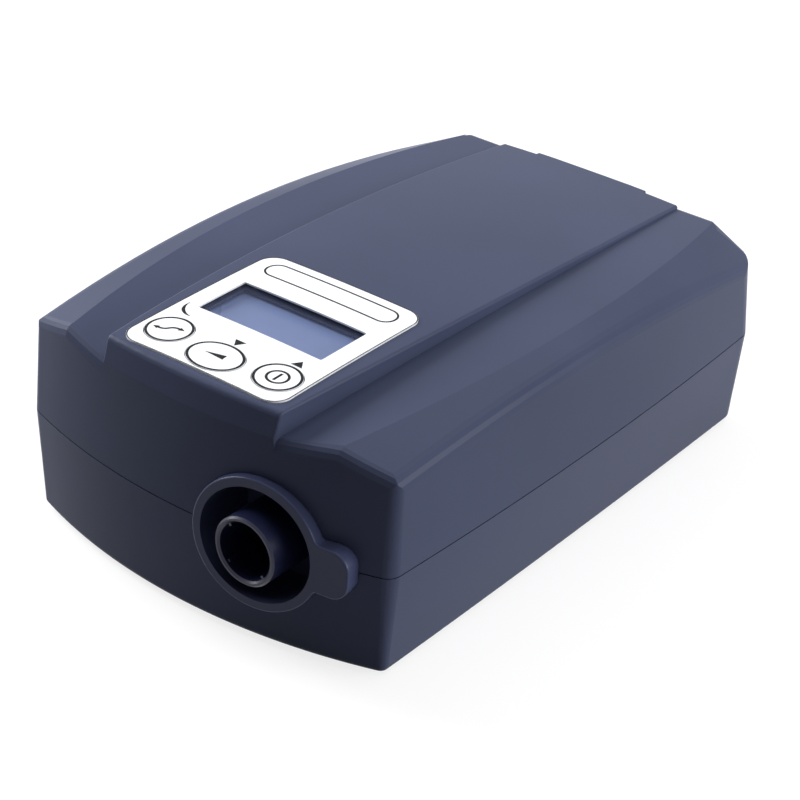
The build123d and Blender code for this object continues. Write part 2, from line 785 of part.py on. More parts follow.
def make_outlet_tube():
    """The 22 mm spigot with its flange, inner ribs and the barb for the sleeve."""
    lip = (spigot_radius - spigot_bore_radius) * spigot_lip_share
    flange_end_y = cup_end_y + flange_thickness
    profile = [(spigot_bore_radius + lip, outlet_tip_y), (spigot_radius - lip, outlet_tip_y),
               (spigot_radius, outlet_tip_y + lip), (spigot_radius, recess_floor_y),
               (spigot_collar_radius, recess_floor_y), (spigot_collar_radius, cup_end_y),
               (cup_radius, cup_end_y), (cup_radius, flange_end_y),
               (barb_radius, flange_end_y), (barb_radius, barb_end_y),
               (spigot_bore_radius, barb_end_y), (spigot_bore_radius, outlet_tip_y + lip)]
    tube = turned(profile, outlet_at)
    for i in range(spigot_rib_count):
        rib = Pos(spigot_bore_radius, 0, 0) * Box(2 * spigot_rib_height, spigot_length, spigot_rib_height)
        place = Pos(outlet_x, outlet_tip_y + spigot_length / 2 + 2 * lip, outlet_z)
        tube += place * Rot(0, (i + 0.5) * 360 / spigot_rib_count, 0) * rib
    tube += rod(outlet_x, port_y, outlet_z + spigot_bore_radius, nipple_radius,
                port_top_z - outlet_z - spigot_bore_radius)
    return tube - rod(outlet_x, port_y, outlet_z, nipple_bore_radius, build_top - outlet_z)


def make_sleeve():
    """Silicone bellows that joins the spigot's barb to the blower's outlet."""
    folds = 2 * sleeve_fold_count
    step = (blower_spigot_y - barb_end_y) / folds
    low, high = barb_radius + sleeve_wall, barb_radius + sleeve_wall + sleeve_fold_height
    outside = [(low, barb_end_y - sleeve_overlap)]
    for i in range(folds + 1):
        outside.append((high if i % 2 else low, barb_end_y + i * step))
    outside.append((low, blower_spigot_y + sleeve_overlap))
    inside = [(radius - sleeve_wall, y) for radius, y in reversed(outside)]
    return turned(outside + inside, outlet_at)


# ---------------------------------------------------------------- blower
blower_x = outlet_x - (volute_end_radius - spigot_radius)
blower_y = behind(blower_centre_back)
volute_z = outlet_z - volute_height / 2
volute_top_z = volute_z + volute_height
volute_floor_z = volute_z + blower_wall
boss_top_z = volute_z + bearing_height + blower_wall / 2
blower_spigot_y = blower_y - duct_length - blower_spigot_length


def at_blower(sketch):
    return Pos(blower_x, blower_y) * sketch


def blower_rod(z, radius, height):
    return rod(blower_x, blower_y, z, radius, height)


def volute_radius(angle):
    """Radius of the spiral; it grows from the tongue round to the outlet."""
    share = (volute_start_angle - angle) / volute_start_angle
    return volute_start_radius + (volute_end_radius - volute_start_radius) * share


def on_volute(angle, outwards):
    """A point outside (or, negative, inside) the spiral at one angle, from the blower's axis."""
    radius = volute_radius(angle) + outwards
    return radius * cos(radians(angle)), radius * sin(radians(angle))


def volute_outline(inset=0.0):
    """The spiral with its straight outlet duct."""
    angles = [volute_start_angle * i / volute_step_count for i in range(volute_step_count + 1)]
    points = [on_volute(angle, -inset) for angle in angles]
    spiral = make_face(Wire([Spline(*points), Line(points[-1], points[0])]))
    duct = Pos(outlet_x - blower_x, (inset - duct_length) / 2) * Rectangle(
        2 * (spigot_radius - inset), duct_length - inset)
    return at_blower(spiral + duct)


mount_offsets = [on_volute(angle, mount_lug_offset) for angle in mount_angles]
mount_places = [(blower_x + x, blower_y + y) for x, y in mount_offsets]


def blower_bore():
    """Air way through the outlet spigot and the wall behind it."""
    length = blower_spigot_length + 2 * blower_wall
    return level_rod(outlet_x, blower_spigot_y, outlet_z, blower_bore_radius, length)


def make_blower_lower():
    """Lower half of the blower: floor and wall of the spiral, bearing seat and mounting lugs."""
    body = slab(volute_outline(), volute_z, volute_height / 2)
    for x, y in mount_places:
        body += rod(x, y, volute_z, mount_lug_radius, mount_lug_thickness)
    body -= slab(volute_outline(blower_wall), volute_floor_z, volute_height)
    body += blower_rod(volute_z, bearing_radius + bearing_boss_wall, boss_top_z - volute_z)
    for x, y in mount_places:
        body -= rod(x, y, volute_z, mount_neck_radius, mount_lug_thickness)
    body -= blower_rod(volute_z, bearing_radius, bearing_height)
    body -= blower_rod(volute_z, bearing_radius - blower_wall / 2, volute_height)
    return body - blower_bore()


def make_blower_upper():
    """Upper half of the blower: roof of the spiral with its inlet, and the outlet spigot."""
    body = slab(volute_outline(), outlet_z, volute_height / 2)
    body -= slab(volute_outline(blower_wall), outlet_z, volute_height / 2 - blower_wall)
    body += blower_rod(volute_top_z, impeller_eye_radius + inlet_lip_wall, inlet_lip_height)
    body -= blower_rod(outlet_z, impeller_eye_radius, build_top - outlet_z)
    spigot = level_rod(outlet_x, blower_spigot_y, outlet_z, barb_radius, blower_spigot_length)
    return body + spigot - blower_bore()


def make_mounts():
    """Silicone dumb-bells that the blower's lugs sit on."""
    group = []
    for x, y in mount_places:
        mount = rod(x, y, volute_z - mount_height, mount_radius, mount_height)
        mount += rod(x, y, volute_z, mount_neck_radius, mount_lug_thickness)
        group.append(mount + rod(x, y, volute_z + mount_lug_thickness, mount_head_radius, mount_head_height))
    return group


impeller_z = boss_top_z + impeller_lift
impeller_top_z = impeller_z + impeller_plate + blade_height_eye


def blade_outline():
    """One backward-curved blade in plan: two arcs, a blade thickness apart."""
    foot = (hub_radius + shaft_radius) / 2
    tip = impeller_radius - blade_rim_gap
    edges = []
    for shift in (0, blade_thickness):
        places = []
        for radius, share in ((foot, 0), ((foot + tip) / 2, blade_bend_share), (tip, 1)):
            angle = radians(blade_sweep_angle) * share + shift / radius
            places.append((radius * cos(angle), radius * sin(angle)))
        edges.append(places)
    near, far = edges
    return make_face(Wire([ThreePointArc(*near), Line(near[2], far[2]), ThreePointArc(*reversed(far)),
                           Line(far[0], near[0])]))


def make_impeller():
    """Hub and back plate with backward-curved blades that get lower towards the rim."""
    plate_top = impeller_plate
    crown = [(0, 0), (impeller_radius, 0), (impeller_radius, plate_top + blade_height_rim),
             (impeller_eye_radius, plate_top + blade_height_eye), (0, plate_top + blade_height_eye)]
    envelope = revolve(make_face(Polyline(*[(r, 0, z) for r, z in crown], close=True)), Axis.Z)
    hub = [(0, 0), (impeller_radius, 0), (impeller_radius, plate_top), (hub_foot_radius, plate_top),
           (hub_radius, plate_top + blade_height_eye), (0, plate_top + blade_height_eye)]
    wheel = revolve(make_face(Polyline(*[(r, 0, z) for r, z in hub], close=True)), Axis.Z)
    blade = slab(blade_outline(), 0, plate_top + blade_height_eye) & envelope
    for i in range(blade_count):
        wheel += Rot(0, 0, i * 360 / blade_count) * blade
    wheel -= Cylinder(shaft_radius, 2 * build_top)
    return Pos(blower_x, blower_y, impeller_z) * wheel


motor_cup_z = volute_z - motor_cup_depth
magnet_z = volute_z - magnet_height - air_gap
stator_z = magnet_z + (magnet_height - stator_height) / 2
cup_floor_z = motor_cup_z + motor_cup_wall
shaft_z = cup_floor_z + touch_gap


def make_bearing(z):
    return slab(at_blower(Circle(bearing_radius) - Circle(shaft_radius + running_gap)), z, bearing_height)


def make_motor_cup():
    """Cup under the blower that carries the stator on a ledge, and the lower bearing."""
    outer = stator_radius + motor_cup_wall
    cup = blower_rod(motor_cup_z, outer, motor_cup_depth)
    cup -= blower_rod(cup_floor_z, stator_radius, motor_cup_depth)
    ledge = Circle(outer) - Circle(outer - 2 * motor_cup_wall)
    cup += slab(at_blower(ledge), cup_floor_z, stator_z - cup_floor_z)
    cup += blower_rod(cup_floor_z, bearing_radius + bearing_boss_wall, bearing_height)
    return cup - blower_rod(cup_floor_z, bearing_radius, bearing_height)


def make_stator():
    """Laminated ring with inward teeth that end in curved shoes."""
    bore = magnet_radius + air_gap
    outline = Circle(stator_radius) - Circle(stator_radius - stator_yoke)
    shoes = Circle(bore + stator_shoe) - Circle(bore)
    length = stator_radius - stator_yoke / 2 - bore
    for i in range(stator_tooth_count):
        turn = Rot(0, 0, i * 360 / stator_tooth_count)
        tooth = turn * Pos(bore + length / 2, 0) * Rectangle(length, stator_tooth_width)
        outline += tooth - Circle(bore)
        outline += shoes & (turn * Pos(bore, 0) * Rectangle(4 * stator_shoe, 1.5 * stator_tooth_width))
    return slab(at_blower(outline), stator_z, stator_height)


def make_coils():
    """One winding round each stator tooth."""
    inner = magnet_radius + air_gap + stator_shoe + fit_gap
    outer = stator_radius - stator_yoke - 2 * fit_gap
    winding = Box(outer - inner, stator_tooth_width + 2 * coil_wall, stator_height + 2 * coil_wall)
    winding = fillet(winding.edges().filter_by(Axis.X), coil_edge_radius)
    winding -= Box(2 * outer, stator_tooth_width, stator_height)
    place = Pos(blower_x, blower_y, stator_z + stator_height / 2)
    turns = [Rot(0, 0, i * 360 / stator_tooth_count) for i in range(stator_tooth_count)]
    return [place * turn * Pos((inner + outer) / 2, 0, 0) * winding for turn in turns]


def make_magnet():
    return slab(at_blower(Circle(magnet_radius) - Circle(shaft_radius)), magnet_z, magnet_height)


# ---------------------------------------------------------------- intake side
intake_x0 = screw_boss_radius + intake_screw_gap - screw_x
intake_x1 = intake_x0 + intake_width
intake_x = (intake_x0 + intake_x1) / 2
intake_port_x = intake_x0 + intake_port_inset
intake_top_z = floor_z + intake_height
frame_inset = door_thickness - touch_gap
clip_x = door_half_width - frame_inset - touch_gap - door_clip_thickness / 2


def base_lean(z):
    """How far the base's walls have come in at a height."""
    return (seam_z - z) * tan(radians(base_taper_angle))


def base_rear_lean(z):
    """How far the base's rear wall has come in at a height."""
    return (seam_z - z) * tan(radians(base_rear_taper_angle))


inlet_x = corner_half_width - inlet_side_inset
inlet_y1 = rear_wall_y(inlet_x, seam_z) - base_rear_lean(inlet_z)
rear_inner_y = (rear_wall_y(abs(intake_x) + door_half_width, seam_z)
                - base_rear_lean(door_z - door_half_height) - wall)
intake_y0 = blower_y + intake_blower_reach
intake_y1 = rear_inner_y - filter_room


def intake_outline(inset=0.0):
    return rounded_bar(intake_x0 + inset, intake_x1 - inset, intake_y0 + inset, intake_y1 - inset,
                       intake_corner_radius - inset)


def door_block(grow, start_y, end_y):
    """A level block of the filter door's outline."""
    outline = RectangleRounded(2 * (door_half_width + grow), 2 * (door_half_height + grow),
                               door_corner_radius + grow)
    return Pos(intake_x, end_y, door_z) * Rot(90, 0, 0) * extrude(outline, amount=end_y - start_y)


def make_intake_box():
    """Sound-absorbing box: an open tray with a filter opening behind and an air port in front."""
    box = slab(intake_outline(), floor_z, intake_height)
    box -= slab(intake_outline(intake_wall), floor_z + intake_wall, intake_height)
    box -= door_block(-frame_inset, intake_y1 - 2 * intake_wall, intake_y1)
    return box - level_rod(intake_port_x, intake_y0, outlet_z, intake_port_radius, 2 * intake_wall)


def make_intake_lid():
    rim = intake_outline(intake_wall + fit_gap) - intake_outline(2 * intake_wall + fit_gap)
    return slab(intake_outline(), intake_top_z, intake_lid_thickness) + slab(
        rim, intake_top_z - intake_lid_rim, intake_lid_rim)


def make_intake_foam():
    """Foam that fills the intake box, with a winding air channel cut through it."""
    low, high = floor_z + intake_wall, intake_top_z - intake_lid_rim - fit_gap
    foam = slab(intake_outline(intake_wall + fit_gap), low, high - low)
    port_x0, port_x1 = intake_port_x - intake_port_radius, intake_port_x + intake_port_radius
    inlet_x0 = intake_x + foam_inlet_shift - foam_inlet_half_width
    inlet_x1 = intake_x + foam_inlet_shift + foam_inlet_half_width
    middle = (intake_y0 + intake_y1) / 2
    channel = rounded_bar(port_x0, inlet_x1, intake_y0 + foam_partition, middle, intake_wall)
    channel += rounded_bar(inlet_x0, inlet_x1, middle - foam_partition, intake_y1 + foam_partition,
                           intake_wall)
    channel += rounded_bar(port_x0, port_x1, intake_y0 - foam_partition, middle, intake_wall)
    return foam - slab(channel, low + foam_floor, high - low - foam_floor)


def make_filter_frame():
    """Duct between the intake box and the rear wall that holds the filter."""
    end_y = rear_inner_y - fit_gap
    return door_block(filter_frame_wall - frame_inset, intake_y1, end_y) - door_block(
        -frame_inset, intake_y1 - wall, end_y + wall)


def make_filter():
    start_y = intake_y1 + filter_seat
    return door_block(-frame_inset, start_y, start_y + filter_thickness)


def make_door():
    """Slotted filter cover that follows the rear wall and is drawn off rearwards."""
    door = door_block(0, rear_inner_y - wall, back_y + wall) & (base_form() - base_form(door_thickness))
    pitch = 2 * (door_half_width - door_slot_margin) / (door_slot_count - 1)
    for i in range(door_slot_count):
        x = intake_x - door_half_width + door_slot_margin + i * pitch
        slot = SlotOverall(door_slot_height, door_slot_width, rotation=90)
        slot = extrude(slot, amount=section_overrun, both=True)
        door -= Pos(x, back_y, door_z) * Rot(90, 0, 0) * slot
    clip_y0 = rear_inner_y - door_clip_length
    for side in (-1, 1):
        clip = Box(door_clip_thickness, back_y - clip_y0, door_clip_height,
                   align=(Align.CENTER, Align.MIN, Align.CENTER))
        door += (Pos(intake_x + side * clip_x, clip_y0, door_z) * clip) & base_form(door_thickness / 2)
    return door


# ---------------------------------------------------------------- base shell
def base_form(inset=0.0):
    """The solid form of the base, which narrows downwards from the seam."""
    low = foot_stand + inset
    lean = base_lean(low)
    bottom = case_plan(inset + lean, base_rear_lean(low) - lean, base_side_ease, lean - base_corner_ease)
    form = loft([Pos(0, 0, low) * bottom, Pos(0, 0, seam_z) * case_plan(inset)], ruled=True)
    if inset:
        return form
    return fillet(form.faces().sort_by(Axis.Z)[0].edges(), base_edge_radius)


def cradle(low, high, x0, x1):
    """A rib across the front of the case with a round seat for the ring's cup."""
    rib = Pos((x0 + x1) / 2, cradle_y + cradle_thickness / 2, (low + high) / 2) * Box(
        x1 - x0, cradle_thickness, high - low)
    return rib - outlet_hole(cup_radius)


def make_base():
    """Lower shell with its tongue, screw bosses, blower posts, foot pockets and openings."""
    shell = base_form() - base_form(wall)
    shell += slab(case_plan((wall + fit_gap) / 2) - case_plan(wall), seam_z, rim_height)
    inside = base_form(wall / 2)
    for x, y in screw_places:
        shell += rod(x, y, foot_stand, screw_boss_radius, base_height) & inside
    for x, y in mount_places:
        post_foot_z = foot_stand + wall / 2
        shell += rod(x, y, post_foot_z, mount_radius, volute_z - mount_height - post_foot_z)
    for side in (-1, 1):
        rib = Box(floor_rib_thickness, intake_y0 - front_y, wall / 2 + floor_rib_height,
                  align=(Align.CENTER, Align.MIN, Align.MIN))
        shell += (Pos(side * floor_rib_x, front_y, floor_z - wall / 2) * rib) & inside
    reach = cup_radius + cradle_margin
    shell += cradle(floor_z - wall / 2, seam_z, outlet_x - reach, outlet_x + reach)
    inlet_rib = Box(2 * inlet_body_radius, inlet_cradle_depth, inlet_z - foot_stand,
                    align=(Align.CENTER, Align.CENTER, Align.MIN))
    inlet_rib = Pos(inlet_x, inlet_y1 - inlet_depth + inlet_cradle_depth / 2, floor_z - wall / 2) * inlet_rib
    shell += inlet_rib & base_form(wall / 2)
    shell -= level_rod(inlet_x, inlet_y1 - 2 * inlet_depth, inlet_z, inlet_body_radius, 4 * inlet_depth)
    shell -= Pos(inlet_x, inlet_y1 - inlet_depth, inlet_z) * Box(
        4 * inlet_body_radius, 2 * inlet_depth - 2 * wall, 2 * inlet_body_radius,
        align=(Align.CENTER, Align.CENTER, Align.MIN))
    for x, y in screw_places:
        shell -= rod(x, y, 0, screw_head_radius + touch_gap, foot_stand + screw_well_depth)
        shell -= rod(x, y, 0, screw_radius + fit_gap, seam_z + rim_height)
    for x, y in foot_places:
        shell -= rod(x, y, 0, foot_radius + fit_gap, foot_stand + foot_pocket)
    shell -= door_block(touch_gap, rear_inner_y - wall, back_y + wall)
    return shell - trim_pocket()


# ---------------------------------------------------------------- top cover
def make_cover():
    """Upper shell: raised deck with the label's seat, openings, screw pillars and board posts."""
    outer = cover_form()
    shell = outer - cover_form(wall)
    pillars = pillar_group(screw_places, seam_z, screw_boss_radius)
    posts = pillar_group(board_post_places, board_top_z, board_post_radius)
    posts += pillar_group(keypad_post_places, keypad_top_z, keypad_post_radius)
    rebate = case_plan((wall - fit_gap) / 2) - case_plan(2 * wall)
    shell -= slab(rebate, seam_z, rim_height + fit_gap)
    groove = case_plan(-seam_groove) - case_plan(seam_groove)
    shell -= slab(groove, seam_z, seam_groove)
    quarter = cradle(seam_z, lip_foot_z, keypad_half_width + 2 * touch_gap,
                     outlet_x + cup_radius + cradle_margin)
    shell += (pillars + posts + quarter) & cover_form(wall / 2)
    for x, y in screw_places:
        shell -= rod(x, y, seam_z, screw_radius, pilot_depth)
    for x, y in board_post_places:
        shell -= rod(x, y, board_z, board_screw_radius, board_pilot_depth)
    for x, y in keypad_post_places:
        shell -= rod(x, y, keypad_board_z, board_screw_radius, board_pilot_depth)
    shell -= deck_layer(panel_outline(), -panel_recess, section_overrun)
    shell -= slab(window_outline(window_ledge), pane_z, section_overrun)
    shell -= through_deck(window_outline(-window_sight_inset))
    for name in key_names:
        x, y = key_centre(name)
        shell -= rod(x, y, keypad_top_z, key_stem_radius + touch_gap, section_overrun)
        shell -= deck_layer(key_outline(name, touch_gap), -key_pocket_depth, section_overrun)
    return shell - trim_pocket()


def pillar_group(places, z, radius):
    group = rod(*places[0], z, radius, build_top - z)
    for x, y in places[1:]:
        group += rod(x, y, z, radius, build_top - z)
    return group


# ---------------------------------------------------------------- fasteners and feet
def make_case_screws():
    group = []
    for x, y in screw_places:
        seat = foot_stand + screw_well_depth
        screw = rod(x, y, seat - screw_head_height, screw_head_radius, screw_head_height)
        screw += rod(x, y, seat, screw_radius, screw_length)
        group.append(screw - rod(x, y, seat - screw_head_height, screw_socket_radius, screw_socket_depth))
    return group


def make_board_screws(places, low):
    group = []
    for x, y in places:
        screw = rod(x, y, low - board_screw_head_height, board_screw_head_radius, board_screw_head_height)
        group.append(screw + rod(x, y, low, board_screw_radius, board_screw_length))
    return group


def make_feet():
    group = []
    for x, y in foot_places:
        foot = rod(x, y, 0, foot_radius, foot_stand + foot_pocket)
        group.append(chamfer(foot.edges().sort_by(Axis.Z)[0], foot_edge_chamfer))
    return group


# ---------------------------------------------------------------- electronics
def on_board(x, back, width, depth, height):
    """A rectangular block on the main board; back is measured from the board's front edge."""
    return slab(Pos(x, board_y0 + back) * Rectangle(width, depth), board_top_z, height)


def make_main_board():
    board = slab(rounded_bar(-board_half_width, board_half_width, board_y0, board_y1, board_corner_radius),
                 board_z, board_thickness)
    for x, y in board_post_places:
        board -= rod(x, y, board_z, board_screw_radius, board_thickness)
    return board


def make_capacitors():
    """Row of upright storage capacitors with rounded shoulders."""
    group = []
    for i in range(capacitor_count):
        x = capacitor_x + i * 2 * (capacitor_radius + touch_gap)
        can = rod(x, board_y1 - capacitor_inset, board_top_z, capacitor_radius, capacitor_height)
        group.append(fillet(can.edges().sort_by(Axis.Z)[-1], capacitor_edge_radius))
    return group


def make_chips():
    return [on_board(controller_x, controller_back, controller_size, controller_size, chip_height),
            on_board(driver_x, driver_back, driver_size, driver_size, chip_height)]


def make_heat_spreader():
    """Finned block over the supply's transistors."""
    spreader_back = board_length - spreader_inset
    block = on_board(spreader_x, spreader_back, spreader_width, spreader_depth, spreader_height)
    gap = spreader_width / (2 * spreader_fin_count - 1)
    for i in range(spreader_fin_count - 1):
        x = spreader_x - spreader_width / 2 + (2 * i + 1.5) * gap
        block -= Pos(0, 0, spreader_base) * on_board(x, spreader_back, gap, spreader_depth, spreader_height)
    return block


def make_buzzer():
    y = board_y0 + buzzer_back
    return rod(buzzer_x, y, board_top_z, buzzer_radius, buzzer_height) - rod(
        buzzer_x, y, board_top_z + buzzer_height / 2, buzzer_hole_radius, buzzer_height)


def make_connectors():
    """Connectors for the ribbon, on both boards, and for the supply."""
    width = 2 * (ribbon_half_width + connector_margin)
    upper = slab(Pos(0, keypad_y1 - connector_depth) * Rectangle(width, connector_depth),
                 keypad_board_z - connector_height, connector_height)
    return [upper, on_board(0, connector_back, width, connector_depth, connector_height),
            on_board(board_half_width - supply_connector_side, board_length - supply_connector_inset,
                     supply_connector_width, supply_connector_length, supply_connector_width)]


hose_z = board_top_z + hose_height
nozzle_y = board_y0 + sensor_back - sensor_size / 2 - sensor_nozzle_length


def make_pressure_sensor():
    body = on_board(outlet_x, sensor_back, sensor_size, sensor_size, sensor_height)
    return body + level_rod(outlet_x, nozzle_y, hose_z, nipple_radius, sensor_nozzle_length)


def make_hose():
    """Silicone hose from the outlet's nipple up to the pressure sensor."""
    start = (outlet_x, port_y, port_top_z - hose_overlap)
    end = (outlet_x, nozzle_y + hose_overlap, hose_z)
    path = FilletPolyline(start, (outlet_x, port_y, hose_z), end, radius=hose_bend_radius)
    section = Plane(start, x_dir=(1, 0, 0), z_dir=(0, 0, 1)) * Circle(nipple_radius + hose_wall)
    core = Plane(start, x_dir=(1, 0, 0), z_dir=(0, 0, 1)) * Circle(nipple_radius)
    return sweep(section, path) - sweep(core, path)


def make_ribbon():
    """Flat ribbon between the two boards, in side view a thin bent strip."""
    y0, z0 = keypad_y1 - connector_depth, keypad_board_z - connector_height
    y1, z1 = board_y0 + connector_back, board_top_z + connector_height
    run_z = z1 + ribbon_rise
    path = FilletPolyline((y0, z0), (y0, run_z), (y1, run_z), (y1, z1), radius=ribbon_bend_radius)
    return extrude(Plane.YZ * trace(path, ribbon_thickness), amount=ribbon_half_width, both=True)


def make_power_inlet():
    """Round supply socket behind the rear wall, with its centre pin."""
    y0, y1 = inlet_y1 - inlet_depth, inlet_y1
    flange_y1 = y1 - wall - inlet_flange_gap
    flange_y0 = flange_y1 - inlet_flange_thickness
    body = [(inlet_socket_radius, y1), (inlet_body_radius, y1), (inlet_body_radius, flange_y1),
            (inlet_flange_radius, flange_y1), (inlet_flange_radius, flange_y0),
            (inlet_body_radius, flange_y0), (inlet_body_radius, y0), (0, y0),
            (0, y1 - inlet_pin_setback), (inlet_pin_radius, y1 - inlet_pin_setback),
            (inlet_pin_radius, y0 + inlet_pin_setback), (inlet_socket_radius, y0 + inlet_pin_setback)]
    return turned(body, (inlet_x, 0, inlet_z))


# ---------------------------------------------------------------- assembly
def build():
    pieces = {
        "top_cover": make_cover(),
        "base_shell": make_base(),
        "case_screws": make_case_screws(),
        "rubber_feet": make_feet(),
        "keypad_overlay": make_label(),
        "display_window": make_pane(),
        "display_module": make_display(),
        "display_bezel": make_bezel(),
        "keypad_board": make_keypad_board(),
        "keypad_screws": make_board_screws(keypad_post_places, keypad_board_z),
        "key_switches": make_switches(),
        "outlet_ring": make_outlet_ring(),
        "outlet_tube": make_outlet_tube(),
        "outlet_sleeve": make_sleeve(),
        "blower_lower_housing": make_blower_lower(),
        "blower_upper_housing": make_blower_upper(),
        "blower_mounts": make_mounts(),
        "impeller": make_impeller(),
        "motor_shaft": blower_rod(shaft_z, shaft_radius, impeller_top_z - shaft_z),
        "upper_bearing": make_bearing(volute_z),
        "lower_bearing": make_bearing(cup_floor_z),
        "motor_cup": make_motor_cup(),
        "motor_stator": make_stator(),
        "motor_coils": make_coils(),
        "rotor_magnet": make_magnet(),
        "intake_box": make_intake_box(),
        "intake_lid": make_intake_lid(),
        "intake_foam": make_intake_foam(),
        "filter_frame": make_filter_frame(),
        "intake_filter": make_filter(),
        "filter_door": make_door(),
        "main_board": make_main_board(),
        "board_screws": make_board_screws(board_post_places, board_z),
        "board_capacitors": make_capacitors(),
        "board_chips": make_chips(),
        "heat_spreader": make_heat_spreader(),
        "buzzer": make_buzzer(),
        "board_connectors": make_connectors(),
        "ribbon_cable": make_ribbon(),
        "pressure_sensor": make_pressure_sensor(),
        "sensing_hose": make_hose(),
        "power_inlet": make_power_inlet(),
    }
    for name in key_names:
        pieces[name] = make_key(name)
    return pieces


if __name__ == "__main__":
    os.makedirs("parts", exist_ok=True)
    for name, piece in build().items():
        solid = Compound(children=piece) if isinstance(piece, list) else piece
        export_step(solid, f"parts/{name}.step")
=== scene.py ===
import math

import bmesh
import bpy
from bpy.props import FloatProperty, FloatVectorProperty, PointerProperty
from mathutils import Matrix, Vector


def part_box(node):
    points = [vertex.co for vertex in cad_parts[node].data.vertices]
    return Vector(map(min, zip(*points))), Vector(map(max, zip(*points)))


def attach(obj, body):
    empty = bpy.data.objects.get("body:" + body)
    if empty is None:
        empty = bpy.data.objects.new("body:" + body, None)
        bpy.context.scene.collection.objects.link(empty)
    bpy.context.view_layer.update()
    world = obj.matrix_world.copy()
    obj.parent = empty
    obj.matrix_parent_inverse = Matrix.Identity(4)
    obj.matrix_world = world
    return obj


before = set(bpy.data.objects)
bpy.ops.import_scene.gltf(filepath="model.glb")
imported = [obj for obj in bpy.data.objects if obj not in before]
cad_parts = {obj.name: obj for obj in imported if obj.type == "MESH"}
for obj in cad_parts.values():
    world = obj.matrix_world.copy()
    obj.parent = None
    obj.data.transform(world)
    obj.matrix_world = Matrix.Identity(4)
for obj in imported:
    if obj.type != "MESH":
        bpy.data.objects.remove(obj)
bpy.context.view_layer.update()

bl_info = {
    "name": "Bedside Breathing Machine",
    "version": (1, 0, 0),
    "blender": (4, 5, 0),
    "location": "View3D > Sidebar > Breathing Machine",
    "description": "Finishes and printed details for the parts of a bedside breathing machine",
    "category": "Object",
}

MM = 0.001

# Sizes in millimetres of the faint, slow changes of tone and gloss that moulding and handling leave
FLOW_MARKS = 55.6              # on moulded plastic
FILM_CLOUDS = 33.3             # on printed film
WIPE_MARKS = 16.7              # on the clear pane
CELL_CLOUDS = 40.0             # on the display
BLOOM = 22.2                   # on rubber
FLOOR_CLOUDS = 667.0           # on the floor's paint

WAVE_TURN = 20                 # radians that a Wave texture turns through in one unit, less on the diagonal


# ------------------------------------------------------------------ colours, nodes and materials
def colour(tone):
    """An sRGB hex value as the linear colour that shader sockets take. A colour setting is linear already."""
    if not isinstance(tone, str):
        return tuple(tone)
    parts = [int(tone[i:i + 2], 16) / 255 for i in (0, 2, 4)]
    return tuple(c / 12.92 if c <= 0.04045 else ((c + 0.055) / 1.055) ** 2.4 for c in parts) + (1.0,)


def add_node(tree, kind, links=(), **settings):
    """Adds a node, sets its sockets and properties, and links outputs of other nodes to its inputs."""
    node = tree.nodes.new(kind)
    for key, value in settings.items():
        setattr(node, key, value)
    for socket, source in dict(links).items():
        if isinstance(source, bpy.types.NodeSocket):
            tree.links.new(source, node.inputs[socket])
        else:
            node.inputs[socket].default_value = source
    return node


def start_material(name):
    """A new material with an empty tree."""
    material = bpy.data.materials.new(name)
    material.use_nodes = True
    material.node_tree.nodes.clear()
    return material, material.node_tree


def end_material(material, shader):
    """Makes a shader the material's surface."""
    add_node(material.node_tree, "ShaderNodeOutputMaterial", {"Surface": shader.outputs[0]})
    return material


def times_per_metre(size_mm):
    """Scale of a pattern whose cells are this large."""
    return 1 / (size_mm * MM)


def bands(pitch_mm):
    """Scale of a Wave texture for lines of this pitch, too fine to show, so they are drawn 6 to 7 times as coarse."""
    return times_per_metre(pitch_mm) / WAVE_TURN


def object_place(tree, scale=(1, 1, 1)):
    """Object coordinates through a Mapping node."""
    place = add_node(tree, "ShaderNodeTexCoord").outputs["Object"]
    return add_node(tree, "ShaderNodeMapping", {"Vector": place, "Scale": scale}).outputs["Vector"]


def two_tone(tree, factor, low, high, start=0.3, end=0.7):
    """A colour ramp between two tones."""
    ramp = add_node(tree, "ShaderNodeValToRGB", {"Fac": factor})
    ramp.color_ramp.elements[0].position = start
    ramp.color_ramp.elements[0].color = colour(low)
    ramp.color_ramp.elements[1].position = end
    ramp.color_ramp.elements[1].color = colour(high)
    return ramp.outputs["Color"]


def moulded_plastic(name, low, high, *, roughness, grain_mm, depth_mm, specular=0.5, ior=1.52):
    """Injection-moulded plastic: a fine eroded grain on the skin, cloudy gloss and faint flow of the colour.

    A real grain is 0.1 to 0.2 mm wide, too fine to show, so it is drawn coarser.
    """
    material, tree = start_material(name)
    place = object_place(tree)
    cloud = add_node(tree, "ShaderNodeTexNoise", {
        "Vector": place, "Scale": times_per_metre(FLOW_MARKS), "Detail": 4.0})
    grain = add_node(tree, "ShaderNodeTexNoise", {"Vector": place, "Scale": times_per_metre(grain_mm), "Detail": 2.0})
    gloss = add_node(tree, "ShaderNodeMapRange", {"Value": cloud.outputs["Fac"], "From Min": 0.3, "From Max": 0.7,
                                                  "To Min": roughness - 0.03, "To Max": roughness + 0.04})
    bump = add_node(tree, "ShaderNodeBump", {"Height": grain.outputs["Fac"], "Strength": 1.0,
                                             "Distance": depth_mm * MM})
    shader = add_node(tree, "ShaderNodeBsdfPrincipled", {
        "Base Color": two_tone(tree, cloud.outputs["Fac"], low, high), "Roughness": gloss.outputs["Result"],
        "IOR": ior, "Specular IOR Level": specular, "Normal": bump.outputs["Normal"]})
    return end_material(material, shader)


